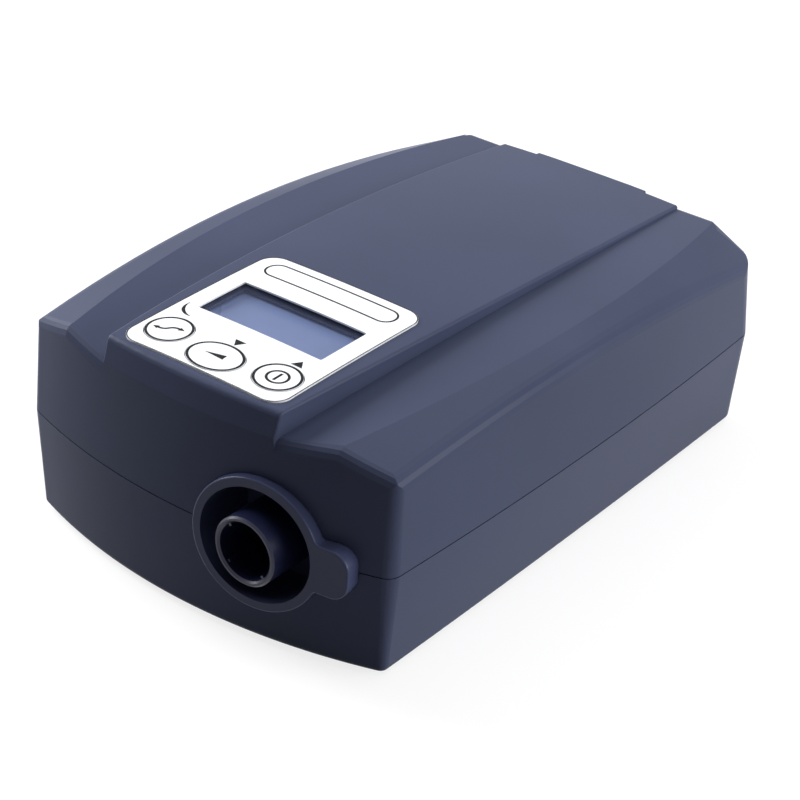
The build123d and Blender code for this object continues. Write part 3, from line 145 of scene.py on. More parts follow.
def printed_film(name, low, high, *, roughness, specular=0.5):
    """Screen-printed polycarbonate film: even colour, a soft sheen and a very fine velvet texture."""
    material, tree = start_material(name)
    place = object_place(tree)
    cloud = add_node(tree, "ShaderNodeTexNoise", {
        "Vector": place, "Scale": times_per_metre(FILM_CLOUDS), "Detail": 3.0})
    # The real velvet is a few hundredths of a millimetre wide, too fine to show, so it is drawn coarser.
    velvet = add_node(tree, "ShaderNodeTexNoise", {"Vector": place, "Scale": times_per_metre(0.25), "Detail": 1.0})
    bump = add_node(tree, "ShaderNodeBump", {
        "Height": velvet.outputs["Fac"], "Strength": 0.4, "Distance": 0.02 * MM})
    shader = add_node(tree, "ShaderNodeBsdfPrincipled", {
        "Base Color": two_tone(tree, cloud.outputs["Fac"], low, high), "Roughness": roughness, "IOR": 1.58,
        "Specular IOR Level": specular, "Normal": bump.outputs["Normal"]})
    return end_material(material, shader)


def clear_pane():
    """Hard-coated acrylic window: mostly clear, with a polished face and a faint cool tint."""
    material, tree = start_material("hard-coated acrylic, polished")
    place = object_place(tree)
    haze = add_node(tree, "ShaderNodeTexNoise", {
        "Vector": place, "Scale": times_per_metre(WIPE_MARKS), "Detail": 3.0})
    gloss = add_node(tree, "ShaderNodeMapRange", {"Value": haze.outputs["Fac"], "To Min": 0.04, "To Max": 0.12})
    shader = add_node(tree, "ShaderNodeBsdfPrincipled", {
        "Base Color": colour("5a6488"), "Roughness": gloss.outputs["Result"], "IOR": 1.49, "Alpha": 0.12})
    return end_material(material, shader)


def liquid_crystal():
    """Unlit liquid-crystal cell: grey-blue, with a pixel grid too fine to see except as a slight tooth."""
    material, tree = start_material("liquid-crystal cell, unlit")
    place = object_place(tree)
    grid = add_node(tree, "ShaderNodeTexBrick", {
        "Vector": place, "Scale": times_per_metre(0.45), "Mortar Size": 0.06, "Brick Width": 1.0, "Row Height": 1.0,
        "Color1": colour("7486b2"), "Color2": colour("7183af"), "Mortar": colour("6a7ba6")}, offset=0.0)
    haze = add_node(tree, "ShaderNodeTexNoise", {
        "Vector": place, "Scale": times_per_metre(CELL_CLOUDS), "Detail": 2.0})
    gloss = add_node(tree, "ShaderNodeMapRange", {"Value": haze.outputs["Fac"], "To Min": 0.22, "To Max": 0.34})
    shader = add_node(tree, "ShaderNodeBsdfPrincipled", {
        "Base Color": grid.outputs["Color"], "Roughness": gloss.outputs["Result"], "IOR": 1.5})
    return end_material(material, shader)


def soft_rubber(name, low, high, *, roughness, sheen):
    """Moulded elastomer: matt, with a dusty bloom and a shallow pebble, drawn coarser than it is so that it shows."""
    material, tree = start_material(name)
    place = object_place(tree)
    bloom = add_node(tree, "ShaderNodeTexNoise", {"Vector": place, "Scale": times_per_metre(BLOOM), "Detail": 5.0})
    pebble = add_node(tree, "ShaderNodeTexVoronoi", {"Vector": place, "Scale": times_per_metre(0.5)})
    bump = add_node(tree, "ShaderNodeBump", {
        "Height": pebble.outputs["Distance"], "Strength": 0.3, "Distance": 0.03 * MM})
    shader = add_node(tree, "ShaderNodeBsdfPrincipled", {
        "Base Color": two_tone(tree, bloom.outputs["Fac"], low, high), "Roughness": roughness, "IOR": 1.42,
        "Sheen Weight": sheen, "Sheen Roughness": 0.5, "Normal": bump.outputs["Normal"]})
    return end_material(material, shader)


def worked_metal(name, low, high, *, roughness, stretch, line_mm):
    """Bare metal with the fine parallel marks that turning, stamping or drawing leaves.

    The marks are long along the axes whose stretch is under 1. They are drawn wider than they are, so that they show.
    """
    material, tree = start_material(name)
    place = object_place(tree, stretch)
    marks = add_node(tree, "ShaderNodeTexNoise", {"Vector": place, "Scale": times_per_metre(line_mm), "Detail": 3.0})
    gloss = add_node(tree, "ShaderNodeMapRange", {"Value": marks.outputs["Fac"], "To Min": roughness - 0.08,
                                                  "To Max": roughness + 0.1})
    bump = add_node(tree, "ShaderNodeBump", {
        "Height": marks.outputs["Fac"], "Strength": 0.3, "Distance": 0.01 * MM})
    shader = add_node(tree, "ShaderNodeBsdfPrincipled", {
        "Base Color": two_tone(tree, marks.outputs["Fac"], low, high), "Metallic": 1.0,
        "Roughness": gloss.outputs["Result"], "Normal": bump.outputs["Normal"]})
    return end_material(material, shader)


def wound_copper():
    """Enamelled copper wire, wound side by side: round ridges, drawn coarser than the wire of 0.35 mm. The colour is
    darker in the troughs between turns: painted shade.
    """
    material, tree = start_material("enamelled copper wire, wound")
    place = object_place(tree)
    turns = add_node(tree, "ShaderNodeTexWave", {"Vector": place, "Scale": bands(0.35), "Distortion": 1.0},
                     bands_direction="DIAGONAL")
    bump = add_node(tree, "ShaderNodeBump", {
        "Height": turns.outputs["Fac"], "Strength": 0.8, "Distance": 0.1 * MM})
    # The darker tone follows the troughs of the ridges: painted shade.
    shader = add_node(tree, "ShaderNodeBsdfPrincipled", {
        "Base Color": two_tone(tree, turns.outputs["Fac"], "7a3413", "c8702f"), "Metallic": 1.0, "Roughness": 0.32,
        "Coat Weight": 0.6, "Coat Roughness": 0.15, "Normal": bump.outputs["Normal"]})
    return end_material(material, shader)


def solder_mask():
    """Glass-fibre board under green solder mask, with the weave and paler copper runs showing through."""
    material, tree = start_material("glass-fibre board, green solder mask")
    place = object_place(tree)
    weave = add_node(tree, "ShaderNodeTexChecker", {"Vector": place, "Scale": times_per_metre(0.6)})
    runs = add_node(tree, "ShaderNodeTexBrick", {
        "Vector": place, "Scale": times_per_metre(3.0), "Mortar Size": 0.09,
        "Color1": colour("0c3d22"), "Color2": colour("0d4226"), "Mortar": colour("1c6b3c")})
    bump = add_node(tree, "ShaderNodeBump", {
        "Height": weave.outputs["Fac"], "Strength": 0.2, "Distance": 0.01 * MM})
    shader = add_node(tree, "ShaderNodeBsdfPrincipled", {
        "Base Color": runs.outputs["Color"], "Roughness": 0.3, "IOR": 1.55, "Coat Weight": 0.4,
        "Coat Roughness": 0.12, "Normal": bump.outputs["Normal"]})
    return end_material(material, shader)


def ribbon_film():
    """Polyester ribbon with flat tinned conductors: pale film with silvery lines along it."""
    material, tree = start_material("polyester film, laminated over tinned copper")
    lines = add_node(tree, "ShaderNodeTexWave", {"Vector": object_place(tree), "Scale": bands(1.0)},
                     bands_direction="X")
    bump = add_node(tree, "ShaderNodeBump", {
        "Height": lines.outputs["Fac"], "Strength": 0.5, "Distance": 0.05 * MM})
    shader = add_node(tree, "ShaderNodeBsdfPrincipled", {
        "Base Color": two_tone(tree, lines.outputs["Fac"], "d7dade", "9ea3a8", start=0.45, end=0.55),
        "Roughness": 0.35, "IOR": 1.58, "Normal": bump.outputs["Normal"]})
    return end_material(material, shader)


def fibrous(name, low, high, *, pore_mm, depth_mm):
    """Open foam or felt: deep pores or tangled fibres that scatter all light. The colour is darker down in the pores
    and between the fibres: painted shade.
    """
    material, tree = start_material(name)
    place = object_place(tree)
    pores = add_node(tree, "ShaderNodeTexVoronoi", {"Vector": place, "Scale": times_per_metre(pore_mm)})
    fibre = add_node(tree, "ShaderNodeTexNoise", {
        "Vector": place, "Scale": times_per_metre(pore_mm / 2), "Detail": 6.0})
    mixed = add_node(tree, "ShaderNodeMath", {0: pores.outputs["Distance"], 1: fibre.outputs["Fac"]},
                     operation="MULTIPLY")
    bump = add_node(tree, "ShaderNodeBump", {"Height": mixed.outputs["Value"], "Strength": 1.0,
                                             "Distance": depth_mm * MM})
    # The lower places, in the pores and between the fibres, take the darker tone: painted shade.
    shader = add_node(tree, "ShaderNodeBsdfPrincipled", {
        "Base Color": two_tone(tree, mixed.outputs["Value"], low, high, start=0.05, end=0.5), "Roughness": 0.95,
        "Sheen Weight": 0.3, "Normal": bump.outputs["Normal"]})
    return end_material(material, shader)


def paint(material, *nodes):
    """Gives CAD nodes their finish."""
    for name in nodes:
        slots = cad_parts[name].data.materials
        slots.clear()
        slots.append(material)


# ------------------------------------------------------------------ modelling helpers
PRINT_LIFT = 0.004 * MM        # between an ink layer and what carries it
PRINT_THICKNESS = 0.03 * MM
HIGH = 90 * MM                 # above the whole machine, where prints start before they are laid on
RING_POINTS = 96
ARC_STEPS = 20
CORNER_STEPS = 12
LONG_EDGE = 2.0 * MM           # straight edges longer than this are cut up, to follow a curved face
LONG_EDGE_CUTS = 24


def deselect():
    bpy.ops.object.select_all(action="DESELECT")


def take(piece):
    """Makes one piece the active and only selected one."""
    deselect()
    bpy.context.view_layer.objects.active = piece
    piece.select_set(True)


def edit(piece):
    """Goes to edit mode on one piece."""
    take(piece)
    bpy.ops.object.mode_set(mode="EDIT")


def leave_edit():
    bpy.ops.object.mode_set(mode="OBJECT")


def apply_modifiers(piece):
    take(piece)
    for modifier in list(piece.modifiers):
        bpy.ops.object.modifier_apply(modifier=modifier.name)


def join(pieces, name):
    """Joins all pieces into the first."""
    take(pieces[0])
    for piece in pieces[1:]:
        piece.select_set(True)
    bpy.ops.object.join()
    pieces[0].name = name
    return pieces[0]


def settle(piece):
    """Puts the piece's place into its mesh."""
    take(piece)
    bpy.ops.object.transform_apply(location=True, rotation=True, scale=True)


def lay_on(piece, node):
    """Lays a flat print on the curved face of a CAD node and gives it the thickness of an ink layer."""
    settle(piece)
    wrap = piece.modifiers.new("lay", "SHRINKWRAP")
    wrap.wrap_method = "PROJECT"
    wrap.use_project_z = True
    wrap.use_negative_direction = True
    wrap.use_positive_direction = False
    wrap.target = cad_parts[node]
    wrap.offset = PRINT_LIFT
    solid = piece.modifiers.new("ink", "SOLIDIFY")
    solid.thickness = PRINT_THICKNESS
    solid.offset = 1.0
    apply_modifiers(piece)
    edit(piece)
    bpy.ops.mesh.select_all(action="SELECT")
    bpy.ops.mesh.normals_make_consistent(inside=False)
    leave_edit()


def settle_scale(piece):
    """Puts the piece's scale into its mesh and leaves its place."""
    take(piece)
    bpy.ops.object.transform_apply(location=False, rotation=False, scale=True)


def pick(piece, test):
    """Goes to edit mode with those points selected whose own place passes a test."""
    edit(piece)
    bpy.ops.mesh.select_all(action="DESELECT")
    mesh = bmesh.from_edit_mesh(piece.data)
    for point in mesh.verts:
        point.select = test(point.co)
    mesh.select_flush(True)
    bmesh.update_edit_mesh(piece.data)


def flat_ring(centre, half_x, half_y, line):
    """A flat band of even width inside an ellipse's outline."""
    deselect()
    bpy.ops.mesh.primitive_circle_add(vertices=RING_POINTS, radius=1.0, location=centre)
    ring = bpy.context.object
    ring.scale = (half_x, half_y, 1.0)
    settle_scale(ring)
    edit(ring)
    bpy.ops.mesh.select_all(action="SELECT")
    bpy.ops.mesh.extrude_region()
    bpy.ops.transform.resize(value=((half_x - line) / half_x, (half_y - line) / half_y, 1.0),
                             center_override=centre)
    leave_edit()
    return ring


def flat_patch(centre, width, length, turn):
    """A flat rectangle; its own X is across and its own Y along."""
    deselect()
    bpy.ops.mesh.primitive_plane_add(size=1.0, location=centre, rotation=(0, 0, turn))
    patch = bpy.context.object
    patch.scale = (width, length, 1.0)
    settle_scale(patch)
    return patch


def flat_wedge(centre, length, width, turn):
    """A solid triangle whose point is turned towards the given angle.

    In a circle of radius 1, such a triangle is 1.5 long and the root of 3 wide.
    """
    deselect()
    bpy.ops.mesh.primitive_circle_add(vertices=3, radius=1.0, fill_type="NGON", location=centre,
                                      rotation=(0, 0, turn - math.pi / 2))
    wedge = bpy.context.object
    wedge.scale = (width / math.sqrt(3), length / 1.5, 1.0)
    settle_scale(wedge)
    return wedge


def flat_arc(centre, radius, start, sweep, line, tail):
    """A flat line along an arc, spun from the end of a short straight piece."""
    middle = Vector(centre) + Vector((radius * math.cos(start), radius * math.sin(start), 0))
    middle += Vector((math.sin(start), -math.cos(start), 0)) * tail / 2
    arc = flat_patch(middle, line, tail, start)
    pick(arc, lambda place: place.y > 0)
    bpy.ops.mesh.spin(steps=ARC_STEPS, angle=-sweep, center=centre, axis=(0, 0, 1))
    leave_edit()
    return arc


def flat_frame(centre, half_x, half_y, corner, line):
    """A flat line along a rounded rectangle, cut crosswise often enough to follow a curved face."""
    frame_line = flat_patch(centre, 2 * half_x, 2 * half_y, 0)
    edit(frame_line)
    bpy.ops.mesh.select_all(action="SELECT")
    bpy.ops.mesh.bevel(offset=corner, segments=CORNER_STEPS, affect="VERTICES")
    bpy.ops.mesh.select_all(action="SELECT")
    bpy.ops.mesh.inset(thickness=line, depth=0.0)
    bpy.ops.mesh.delete(type="ONLY_FACE")
    mesh = bmesh.from_edit_mesh(frame_line.data)
    for edge in mesh.edges:
        edge.select = edge.calc_length() > LONG_EDGE
    bmesh.update_edit_mesh(frame_line.data)
    bpy.ops.mesh.subdivide(number_cuts=LONG_EDGE_CUTS)
    leave_edit()
    return frame_line


# ------------------------------------------------------------------ settings
def tone_setting(name, description, hex_text):
    """A colour that the user can change, with an sRGB hex value to start from."""
    return FloatVectorProperty(name=name, description=description, default=colour(hex_text), size=4, min=0.0,
                               max=1.0, subtype="COLOR")


class CaseSettings(bpy.types.PropertyGroup):
    """Finish of the moulded case"""
    dark: tone_setting("Dark tone", "Darker of the two tones that the plastic flows between", "3d4359")
    light: tone_setting("Light tone", "Lighter of the two tones that the plastic flows between", "42485f")
    grain: FloatProperty(name="Grain", description="Width of the eroded grain in millimetres", default=0.45, min=0.1)
    roughness: FloatProperty(name="Roughness", description="Gloss of the case", default=0.36, min=0.0, max=1.0)


class PanelSettings(bpy.types.PropertyGroup):
    """Colours and sizes of the label, its keys and what is printed on them"""
    film_dark: tone_setting("Film, dark tone", "Darker tone of the printed film", "e9ebef")
    film_light: tone_setting("Film, light tone", "Lighter tone of the printed film", "eff1f4")
    ink_dark: tone_setting("Ink, dark tone", "Darker tone of the screen ink", "06070b")
    ink_light: tone_setting("Ink, light tone", "Lighter tone of the screen ink", "0a0b10")
    line: FloatProperty(name="Line", description="Width of the key outlines and signs", default=0.85 * MM,
                        unit="LENGTH")
    frame_line: FloatProperty(name="Frame line", description="Width of the name frame's line", default=0.7 * MM,
                              unit="LENGTH")
    edge_line: FloatProperty(name="Edge line", description="Width of the line at the label's edge", default=0.35 * MM,
                             unit="LENGTH")
    margin: FloatProperty(name="Margin", description="From an edge to the line beside it", default=0.05 * MM,
                          unit="LENGTH")
    pointer: FloatProperty(name="Point", description="Length of the ramp's points", default=2.0 * MM, unit="LENGTH")


class StudioSettings(bpy.types.PropertyGroup):
    """Place and lens of the camera"""
    azimuth: FloatProperty(name="Azimuth", description="Camera's turn round the machine", default=math.radians(34.84),
                           subtype="ANGLE")
    elevation: FloatProperty(name="Elevation", description="Camera's height angle", default=math.radians(30.16),
                             subtype="ANGLE")
    roll: FloatProperty(name="Roll", description="Camera's roll", default=math.radians(4.32), subtype="ANGLE")
    distance: FloatProperty(name="Distance", description="Camera to the point it looks at", default=0.7368,
                            unit="LENGTH")
    lens: FloatProperty(name="Lens", description="Focal length on a 36 mm sensor", default=104.89)


# ------------------------------------------------------------------ case
class CASE_OT_shells(bpy.types.Operator):
    """Gives the shells, the ring, the spigot and the filter cover their moulded finish"""
    bl_idname = "machine.case_shells"
    bl_label = "Case shells"

    def execute(self, context):
        s = context.scene.case_settings
        # Spark-eroded ABS: satin, so the pale surroundings lie on it as a lilac-grey sheet over dark navy.
        case = moulded_plastic("ABS, moulded, spark-eroded satin", s.dark, s.light,
                               roughness=s.roughness, grain_mm=s.grain, depth_mm=0.012, specular=0.1, ior=1.36)
        paint(case, "top_cover", "base_shell", "filter_door")
        # The ring comes from a polished tool, so its rounded edge carries a brighter line than the case does.
        ring = moulded_plastic("ABS, moulded, polished", "383d57", "3c415d",
                               roughness=0.3, grain_mm=0.6, depth_mm=0.006, specular=0.2, ior=1.42)
        paint(ring, "outlet_ring")
        # Acetal spigot: smoother than the case, so its rim catches a thin light line.
        tube = moulded_plastic("acetal, moulded, semi-gloss", "161a34", "1a1e39",
                               roughness=0.3, grain_mm=0.8, depth_mm=0.004, specular=0.35)
        paint(tube, "outlet_tube")
        return {"FINISHED"}


class CASE_OT_fixings(bpy.types.Operator):
    """Gives the feet, the screws and the supply socket their finish"""
    bl_idname = "machine.case_fixings"
    bl_label = "Feet and fixings"

    def execute(self, context):
        # Thermoplastic rubber: matt, a little dusty, so it stays darker than the case at every angle.
        paint(soft_rubber("thermoplastic rubber, moulded", "16171b", "1f2025",
                          roughness=0.8, sheen=0.15),
              "rubber_feet")
        # Zinc-plated steel: pale metal with the marks of the heading tool.
        paint(worked_metal("steel, zinc-plated, cold-headed", "9fa3a8", "b9bcc0",
                           roughness=0.34, stretch=(1, 1, 0.2), line_mm=0.3),
              "case_screws", "board_screws", "keypad_screws")
        # Glass-filled nylon: dark, a little rough, as sockets and brackets are.
        paint(moulded_plastic("glass-filled nylon, moulded", "121317", "191a1f",
                              roughness=0.5, grain_mm=0.3, depth_mm=0.01),
              "power_inlet", "pressure_sensor", "key_switches", "buzzer")
        return {"FINISHED"}


# ------------------------------------------------------------------ label, keys and display
class PANEL_OT_film(bpy.types.Operator):
    """Gives the label, its keys, the window and the display their finish"""
    bl_idname = "machine.panel_film"
    bl_label = "Label and keys"

    def execute(self, context):
        s = context.scene.panel_settings
        # Polycarbonate film, printed white on its back: even, with a soft sheen.
        film = printed_film("polycarbonate film, printed white", s.film_dark, s.film_light, roughness=0.38)
        paint(film, "keypad_overlay", "key_left", "key_middle", "key_right")
        paint(clear_pane(), "display_window")
        paint(liquid_crystal(), "display_module")
        # ABS frame in near black: its dark colour is painted shade for the well round the display.
        paint(moulded_plastic("ABS, moulded, near black, painted well shade", "0c0e16", "10121b",
                              roughness=0.6, grain_mm=0.4, depth_mm=0.01),
              "display_bezel")
        return {"FINISHED"}


# ------------------------------------------------------------------ blower, intake and boards
class BLOWER_OT_finish(bpy.types.Operator):
    """Gives the blower, its motor and the soft parts of the air path their finish"""
    bl_idname = "machine.blower_finish"
    bl_label = "Blower and motor"

    def execute(self, context):
        # Natural polypropylene: milky, waxy and slightly glossy.
        paint(moulded_plastic("polypropylene, moulded, natural", "c9cbc6", "d6d8d3",
                              roughness=0.42, grain_mm=0.6, depth_mm=0.006),
              "blower_lower_housing", "blower_upper_housing", "impeller")
        # Silicone: soft, milky and matt, with a faint bloom.
        paint(soft_rubber("silicone rubber, moulded", "b4b9bd", "c6cacd",
                          roughness=0.55, sheen=0.3),
              "outlet_sleeve", "blower_mounts", "sensing_hose")
        # Die-cast aluminium: pale and grainy.
        paint(worked_metal("aluminium, die-cast", "a8abae", "bdc0c2",
                           roughness=0.5, stretch=(1, 1, 1), line_mm=0.6),
              "motor_cup")
        # Ground steel: bright, with fine rings round the axis.
        paint(worked_metal("steel, ground", "b5b7ba", "d0d2d4",
                           roughness=0.22, stretch=(0.2, 0.2, 1), line_mm=0.2),
              "motor_shaft", "upper_bearing", "lower_bearing")
        # Stamped electrical steel in a stack: the sheets show as lines across the axis, half a millimetre apart.
        paint(worked_metal("electrical steel, stamped and stacked", "6f7378", "8b8f94",
                           roughness=0.4, stretch=(0.05, 0.05, 1), line_mm=0.5),
              "motor_stator")
        paint(wound_copper(), "motor_coils")
        # Sintered ferrite: charcoal grey with a dull, stony gloss.
        paint(moulded_plastic("ferrite, sintered", "26282b", "303336",
                              roughness=0.45, grain_mm=0.2, depth_mm=0.01),
              "rotor_magnet")
        return {"FINISHED"}


class INTAKE_OT_finish(bpy.types.Operator):
    """Gives the intake box, its foam and the filter their finish"""
    bl_idname = "machine.intake_finish"
    bl_label = "Intake and filter"

    def execute(self, context):
        # Recycled black ABS: duller than the case.
        paint(moulded_plastic("ABS, moulded, dull black", "1b1d22", "222429",
                              roughness=0.55, grain_mm=0.5, depth_mm=0.012),
              "intake_box", "intake_lid", "filter_frame")
        # Open-cell polyurethane: pores about a millimetre wide, darker inside through painted shade.
        paint(fibrous("polyurethane foam, open-cell", "202125", "4c4e54",
                      pore_mm=1.1, depth_mm=0.5),
              "intake_foam")
        # Needled polyester: pale tangled fibres, with painted shade in the hollows between them.
        paint(fibrous("polyester felt, needled", "b9bcc0", "eceef0",
                      pore_mm=0.7, depth_mm=0.2),
              "intake_filter")
        return {"FINISHED"}


class BOARDS_OT_finish(bpy.types.Operator):
    """Gives the two boards and what is soldered to them their finish"""
    bl_idname = "machine.boards_finish"
    bl_label = "Boards"

    def execute(self, context):
        paint(solder_mask(), "main_board", "keypad_board")
        # Drawn aluminium cans: bright, with marks along the draw.
        paint(worked_metal("aluminium, deep-drawn", "b2b5b9", "c9ccd0",
                           roughness=0.3, stretch=(1, 1, 0.1), line_mm=0.25),
              "board_capacitors")
        # Black-anodised extrusion: dark, with die lines along its fins.
        paint(worked_metal("aluminium, extruded, anodised black", "1c1d21", "2a2c31",
                           roughness=0.42, stretch=(1, 0.05, 1), line_mm=0.3),
              "heat_spreader")
        # Epoxy moulding compound: dull charcoal.
        paint(moulded_plastic("epoxy, transfer-moulded", "1a1b1d", "222326",
                              roughness=0.6, grain_mm=0.15, depth_mm=0.008),
              "board_chips")
        # Unfilled nylon: ivory white and slightly waxy.
        paint(moulded_plastic("nylon, moulded, natural", "ddd8c8", "e8e3d4",
                              roughness=0.4, grain_mm=0.5, depth_mm=0.005),
              "board_connectors")
        paint(ribbon_film(), "ribbon_cable")
        return {"FINISHED"}


# ------------------------------------------------------------------ prints
KEYS = {"key_left": "left_key", "key_middle": "middle_key", "key_right": "right_key"}


def screen_ink(s):
    """Screen-printing ink on film: near black, a little duller than the film."""
    return printed_film("screen ink, black", s.ink_dark, s.ink_light, roughness=0.5, specular=0.1)


def print_on(piece, node, name, ink, body="case"):
    """Lays a flat print on a node, inks it and lets it ride with the node's body."""
    lay_on(piece, node)
    piece.name = name
    piece.data.name = name
    piece.data.materials.append(ink)
    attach(piece, body)


def key_box(node):
    """Centre and half sizes of a key, in plan."""
    low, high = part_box(node)
    return (low[0] + high[0]) / 2, (low[1] + high[1]) / 2, (high[0] - low[0]) / 2, (high[1] - low[1]) / 2


class PANEL_OT_key_outlines(bpy.types.Operator):
    """Prints the line round each key"""
    bl_idname = "machine.key_outlines"
    bl_label = "Key outlines"

    def execute(self, context):
        s = context.scene.panel_settings
        ink = screen_ink(s)
        for node, body in KEYS.items():
            x, y, half_x, half_y = key_box(node)
            ring = flat_ring((x, y, HIGH), half_x - s.margin, half_y - s.margin, s.line)
            print_on(ring, node, node + "_outline", ink, body)
        return {"FINISHED"}


RAMP_RADIUS = 3.0 * MM
RAMP_TURN = math.radians(60)
RAMP_TAIL = 0.9 * MM
RAMP_POINT_WIDTH = 0.9         # as a share of the point's length
RAMP_SHIFT = (-0.4 * MM, 0.2 * MM)       # from the key's middle
WEDGE_LENGTH = 7.0 * MM
WEDGE_WIDTH = 2.4 * MM
WEDGE_TILT = math.radians(6)
WEDGE_SHIFT = (0.4 * MM, 0.6 * MM)
POWER_RADIUS = 3.7 * MM
POWER_BAR = 1.15 * POWER_RADIUS


class PANEL_OT_key_signs(bpy.types.Operator):
    """Prints the sign in the middle of each key"""
    bl_idname = "machine.key_signs"
    bl_label = "Key signs"

    def execute(self, context):
        s = context.scene.panel_settings
        ink = screen_ink(s)
        quarter = math.pi / 2

        # Left key: an S-shaped line with a point at each end.
        x, y = key_box("key_left")[:2]
        x, y = x + RAMP_SHIFT[0], y + RAMP_SHIFT[1]
        across, rise = RAMP_RADIUS * math.sin(RAMP_TURN), RAMP_RADIUS * math.cos(RAMP_TURN)
        top = RAMP_RADIUS - rise
        ramp = [flat_arc((x - across, y + rise, HIGH), RAMP_RADIUS, -quarter, RAMP_TURN, s.line, RAMP_TAIL),
                flat_arc((x + across, y - rise, HIGH), RAMP_RADIUS, quarter, RAMP_TURN, s.line, RAMP_TAIL)]
        for side, angle in ((-1, math.pi), (1, 0.0)):
            place = (x + side * (across + RAMP_TAIL), y + side * top, HIGH)
            ramp.append(flat_wedge(place, s.pointer, RAMP_POINT_WIDTH * s.pointer, angle))
        print_on(join(ramp, "ramp"), "key_left", "key_left_sign", ink, KEYS["key_left"])

        # Middle key: one slim solid wedge that widens to the right.
        x, y = key_box("key_middle")[:2]
        wedge = flat_wedge((x + WEDGE_SHIFT[0], y + WEDGE_SHIFT[1], HIGH), WEDGE_LENGTH, WEDGE_WIDTH,
                           math.pi + WEDGE_TILT)
        print_on(wedge, "key_middle", "key_middle_sign", ink, KEYS["key_middle"])

        # Right key: a bar in a circle, the usual sign for on and standby.
        x, y = key_box("key_right")[:2]
        power = [flat_ring((x, y, HIGH), POWER_RADIUS, POWER_RADIUS, s.line),
                 flat_patch((x, y, HIGH), s.line, POWER_BAR, 0)]
        print_on(join(power, "power"), "key_right", "key_right_sign", ink, KEYS["key_right"])
        return {"FINISHED"}


POINTER_LENGTH = 3.2 * MM
POINTER_WIDTH = 4.0 * MM
POINTERS = (("pointer_down", -0.1 * MM, -80.9 * MM, -math.pi / 2), ("pointer_up", 20.3 * MM, -78.7 * MM, math.pi / 2))
CRESCENT_CENTRE = (-21.3 * MM, -72.6 * MM)
CRESCENT_RADIUS = 5.6 * MM
CRESCENT_START = math.radians(176)
CRESCENT_SWEEP = math.radians(96)
CRESCENT_LINE = 1.1 * MM
CRESCENT_TAIL = CRESCENT_LINE / 4
CRESCENT_TIP = 0.15            # width at its ends, as a share of that in the middle
CRESCENT_REACH = 0.6 * CRESCENT_LINE     # just past half the line's width
CRESCENT_ALIGNED = 1.4         # radians, nearly square to the arc
EDGE_CORNER = 6.3 * MM
NAME_FRAME_CENTRE = (-0.2 * MM, -38.2 * MM)
NAME_FRAME_HALF_LENGTH = 24.8 * MM
NAME_FRAME_HALF_WIDTH = 4.4 * MM


def lies_across(step, outward):
    """Whether a step from the middle of the crescent's line leads straight across the line, to its edge."""
    return step.length < CRESCENT_REACH and abs(step.angle(outward, 0) - math.pi / 2) > CRESCENT_ALIGNED


class PANEL_OT_label_marks(bpy.types.Operator):
    """Prints the two pointers, the crescent, the empty name frame and the edge line of the label"""
    bl_idname = "machine.label_marks"
    bl_label = "Label marks"

    def execute(self, context):
        s = context.scene.panel_settings
        ink = screen_ink(s)
        label = "keypad_overlay"
        for name, x, y, angle in POINTERS:
            pointer = flat_wedge((x, y, HIGH), POINTER_LENGTH, POINTER_WIDTH, angle)
            print_on(pointer, label, name, ink)

        # Crescent beside the left key: an arc that thins towards its ends.
        x, y = CRESCENT_CENTRE
        crescent = flat_arc((x, y, HIGH), CRESCENT_RADIUS, CRESCENT_START, CRESCENT_SWEEP, CRESCENT_LINE,
                            CRESCENT_TAIL)
        settle(crescent)
        for i in range(ARC_STEPS + 1):
            angle = CRESCENT_START + CRESCENT_SWEEP * i / ARC_STEPS
            outward = Vector((math.cos(angle), math.sin(angle), 0))
            middle = Vector((x, y, HIGH)) + CRESCENT_RADIUS * outward
            share = CRESCENT_TIP + (1 - CRESCENT_TIP) * math.sin(math.pi * i / ARC_STEPS)
            pick(crescent, lambda place: lies_across(place - middle, outward))
            bpy.ops.transform.resize(value=(share, share, 1), center_override=middle)
            leave_edit()
        print_on(crescent, label, "night_crescent", ink)

        low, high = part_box(label)
        half_x, half_y = (high[0] - low[0]) / 2, (high[1] - low[1]) / 2
        middle = ((low[0] + high[0]) / 2, (low[1] + high[1]) / 2, HIGH)
        edge = flat_frame(middle, half_x - s.margin, half_y - s.margin, EDGE_CORNER, s.edge_line)
        print_on(edge, label, "label_edge_line", ink)
        x, y = NAME_FRAME_CENTRE
        name_frame = flat_frame((x, y, HIGH), NAME_FRAME_HALF_LENGTH, NAME_FRAME_HALF_WIDTH,
                                NAME_FRAME_HALF_WIDTH - s.frame_line / 4, s.frame_line)
        print_on(name_frame, label, "empty_name_frame", ink)
        return {"FINISHED"}


# ------------------------------------------------------------------ stage
# Name, place in metres, side length in metres and power in watts. The left one is the key light: it is low, so the
# deck shades the right shoulder. The right one lifts the long side.
SOFT_BOXES = (("light_above", (0.1, 0.35, 1.3), 1.5, 14.0), ("light_right", (1.3, 0.5, 0.3), 0.9, 23.0),
              ("light_left", (-1.3, -0.08, 0.72), 0.8, 32.0))
FLOOR_SIZE = 8.0               # metres
FLOOR_DROP = 0.2 * MM          # below the feet
FLOOR_OWN_LIGHT = 0.8          # seen by the camera; the lamps add the rest up to white
FILL_LIGHT = 0.04              # of the surroundings, on matt surfaces
VIEW_TARGET = (0.01089, -0.01339, 0.0362)       # in metres, where the camera looks
LAMP_TARGET = (0, 0, 40 * MM)  # half way up the machine
SENSOR_WIDTH = 36.0            # millimetres
NEAREST_SEEN = 10 * MM


def seen_directly(tree):
    """1 for the camera and for what glossy or clear surfaces show, 0 for diffuse light."""
    path = add_node(tree, "ShaderNodeLightPath")
    seen = path.outputs["Is Camera Ray"]
    for kind in ("Is Glossy Ray", "Is Transmission Ray"):
        seen = add_node(tree, "ShaderNodeMath", {0: seen, 1: path.outputs[kind]}, operation="ADD",
                        use_clamp=True).outputs[0]
    return seen


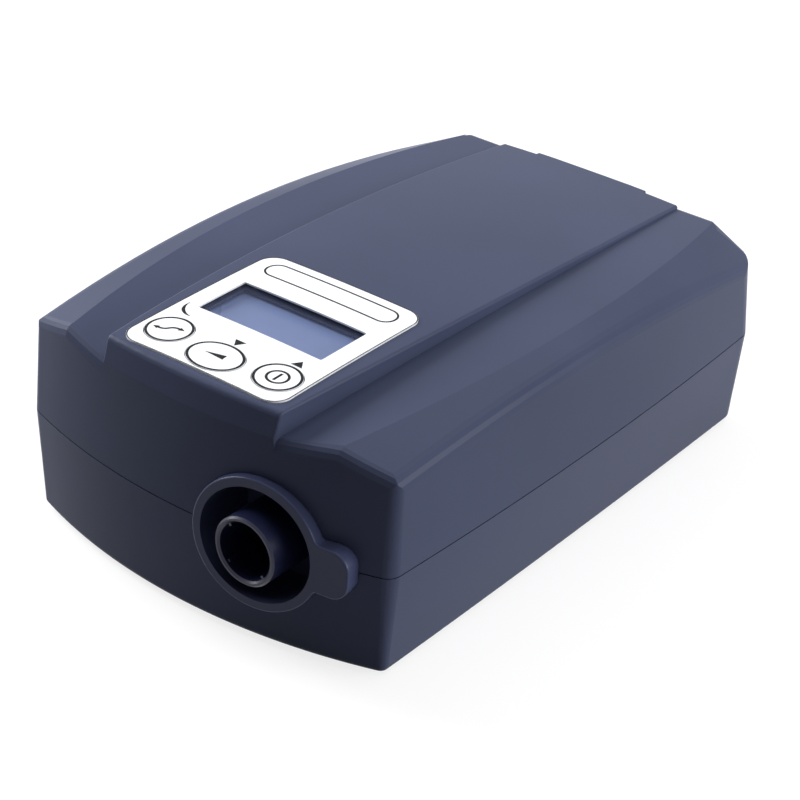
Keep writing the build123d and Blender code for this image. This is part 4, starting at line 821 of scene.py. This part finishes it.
def floor_paint():
    """Pale matt floor: lit like any surface, with enough of its own light for the camera to see it white."""
    material, tree = start_material("studio floor, matt white paint")
    own = add_node(tree, "ShaderNodeMath", {0: seen_directly(tree), 1: FLOOR_OWN_LIGHT}, operation="MULTIPLY")
    cloud = add_node(tree, "ShaderNodeTexNoise", {
        "Vector": object_place(tree), "Scale": times_per_metre(FLOOR_CLOUDS)})
    matt = add_node(tree, "ShaderNodeBsdfDiffuse", {
        "Color": two_tone(tree, cloud.outputs["Fac"], "868688", "8a8a8c")})
    glow = add_node(tree, "ShaderNodeEmission", {"Color": (1, 1, 1, 1), "Strength": own.outputs[0]})
    both = add_node(tree, "ShaderNodeAddShader", {0: matt.outputs[0], 1: glow.outputs[0]})
    return end_material(material, both)


def sky():
    """Even white surroundings for the camera, and a dimmer one as fill light."""
    world = bpy.data.worlds.new("studio surroundings")
    bpy.context.scene.world = world
    world.use_nodes = True
    tree = world.node_tree
    tree.nodes.clear()
    strength = add_node(tree, "ShaderNodeMapRange", {
        "Value": seen_directly(tree), "To Min": FILL_LIGHT, "To Max": 1.0})
    light = add_node(tree, "ShaderNodeBackground", {"Color": (1, 1, 1, 1), "Strength": strength.outputs["Result"]})
    add_node(tree, "ShaderNodeOutputWorld", {"Surface": light.outputs["Background"]})


def soft_box(name, place, size, power):
    """A square area lamp that faces the machine."""
    deselect()
    bpy.ops.object.light_add(type="AREA", location=place)
    lamp = bpy.context.object
    lamp.name = name
    lamp.data.shape = "SQUARE"
    lamp.data.size = size
    lamp.data.energy = power
    aim = Vector(LAMP_TARGET) - Vector(place)
    lamp.rotation_euler = aim.to_track_quat("-Z", "Y").to_euler()
    lamp.visible_camera = False


def camera_at_view(s):
    """A camera on a sphere round the point it looks at, with a little roll."""
    target = Vector(VIEW_TARGET)
    back = Vector((math.sin(s.azimuth) * math.cos(s.elevation), -math.cos(s.azimuth) * math.cos(s.elevation),
                   math.sin(s.elevation)))
    right = Vector((math.cos(s.azimuth), math.sin(s.azimuth), 0))
    up = back.cross(right)
    across = right * math.cos(s.roll) + up * math.sin(s.roll)
    above = up * math.cos(s.roll) - right * math.sin(s.roll)
    data = bpy.data.cameras.new("view")
    data.lens = s.lens
    data.sensor_width = SENSOR_WIDTH
    data.clip_start = NEAREST_SEEN
    camera = bpy.data.objects.new("view", data)
    bpy.context.collection.objects.link(camera)
    camera.matrix_world = Matrix.Translation(target + back * s.distance) @ Matrix(
        (across, above, back)).transposed().to_4x4()
    bpy.context.scene.camera = camera


class STUDIO_OT_stage(bpy.types.Operator):
    """Sets up the floor, the lights, the sky and the camera"""
    bl_idname = "machine.studio_stage"
    bl_label = "Studio"

    def execute(self, context):
        s = context.scene.studio_settings
        deselect()
        bpy.ops.mesh.primitive_plane_add(size=FLOOR_SIZE, location=(0, 0, -FLOOR_DROP))
        floor = context.object
        floor.name = "studio_floor"
        floor.data.materials.append(floor_paint())
        sky()
        for name, place, size, power in SOFT_BOXES:
            soft_box(name, place, size, power)
        camera_at_view(s)
        return {"FINISHED"}


# ------------------------------------------------------------------ panel and registration
OPERATORS = (CASE_OT_shells, CASE_OT_fixings, PANEL_OT_film, BLOWER_OT_finish, INTAKE_OT_finish, BOARDS_OT_finish,
             PANEL_OT_key_outlines, PANEL_OT_key_signs, PANEL_OT_label_marks, STUDIO_OT_stage)
SETTINGS = {"case_settings": CaseSettings, "panel_settings": PanelSettings, "studio_settings": StudioSettings}


class MACHINE_PT_sidebar(bpy.types.Panel):
    """Lists the machine's pieces and their settings"""
    bl_label = "Breathing Machine"
    bl_idname = "MACHINE_PT_sidebar"
    bl_space_type = "VIEW_3D"
    bl_region_type = "UI"
    bl_category = "Breathing Machine"

    def draw(self, context):
        for name, group in SETTINGS.items():
            settings = getattr(context.scene, name)
            for prop in group.__annotations__:
                self.layout.prop(settings, prop)
        for operator in OPERATORS:
            self.layout.operator(operator.bl_idname)


def register():
    for group in SETTINGS.values():
        bpy.utils.register_class(group)
    for operator in OPERATORS:
        bpy.utils.register_class(operator)
    bpy.utils.register_class(MACHINE_PT_sidebar)
    for name, group in SETTINGS.items():
        setattr(bpy.types.Scene, name, PointerProperty(type=group))


def unregister():
    for name in SETTINGS:
        delattr(bpy.types.Scene, name)
    bpy.utils.unregister_class(MACHINE_PT_sidebar)
    for operator in reversed(OPERATORS):
        bpy.utils.unregister_class(operator)
    for group in SETTINGS.values():
        bpy.utils.unregister_class(group)


def main():
    register()
    bpy.context.scene.view_settings.view_transform = "Standard"
    for operator in OPERATORS:
        family, action = operator.bl_idname.split(".")
        getattr(getattr(bpy.ops, family), action)()


if __name__ == "__main__":
    main()
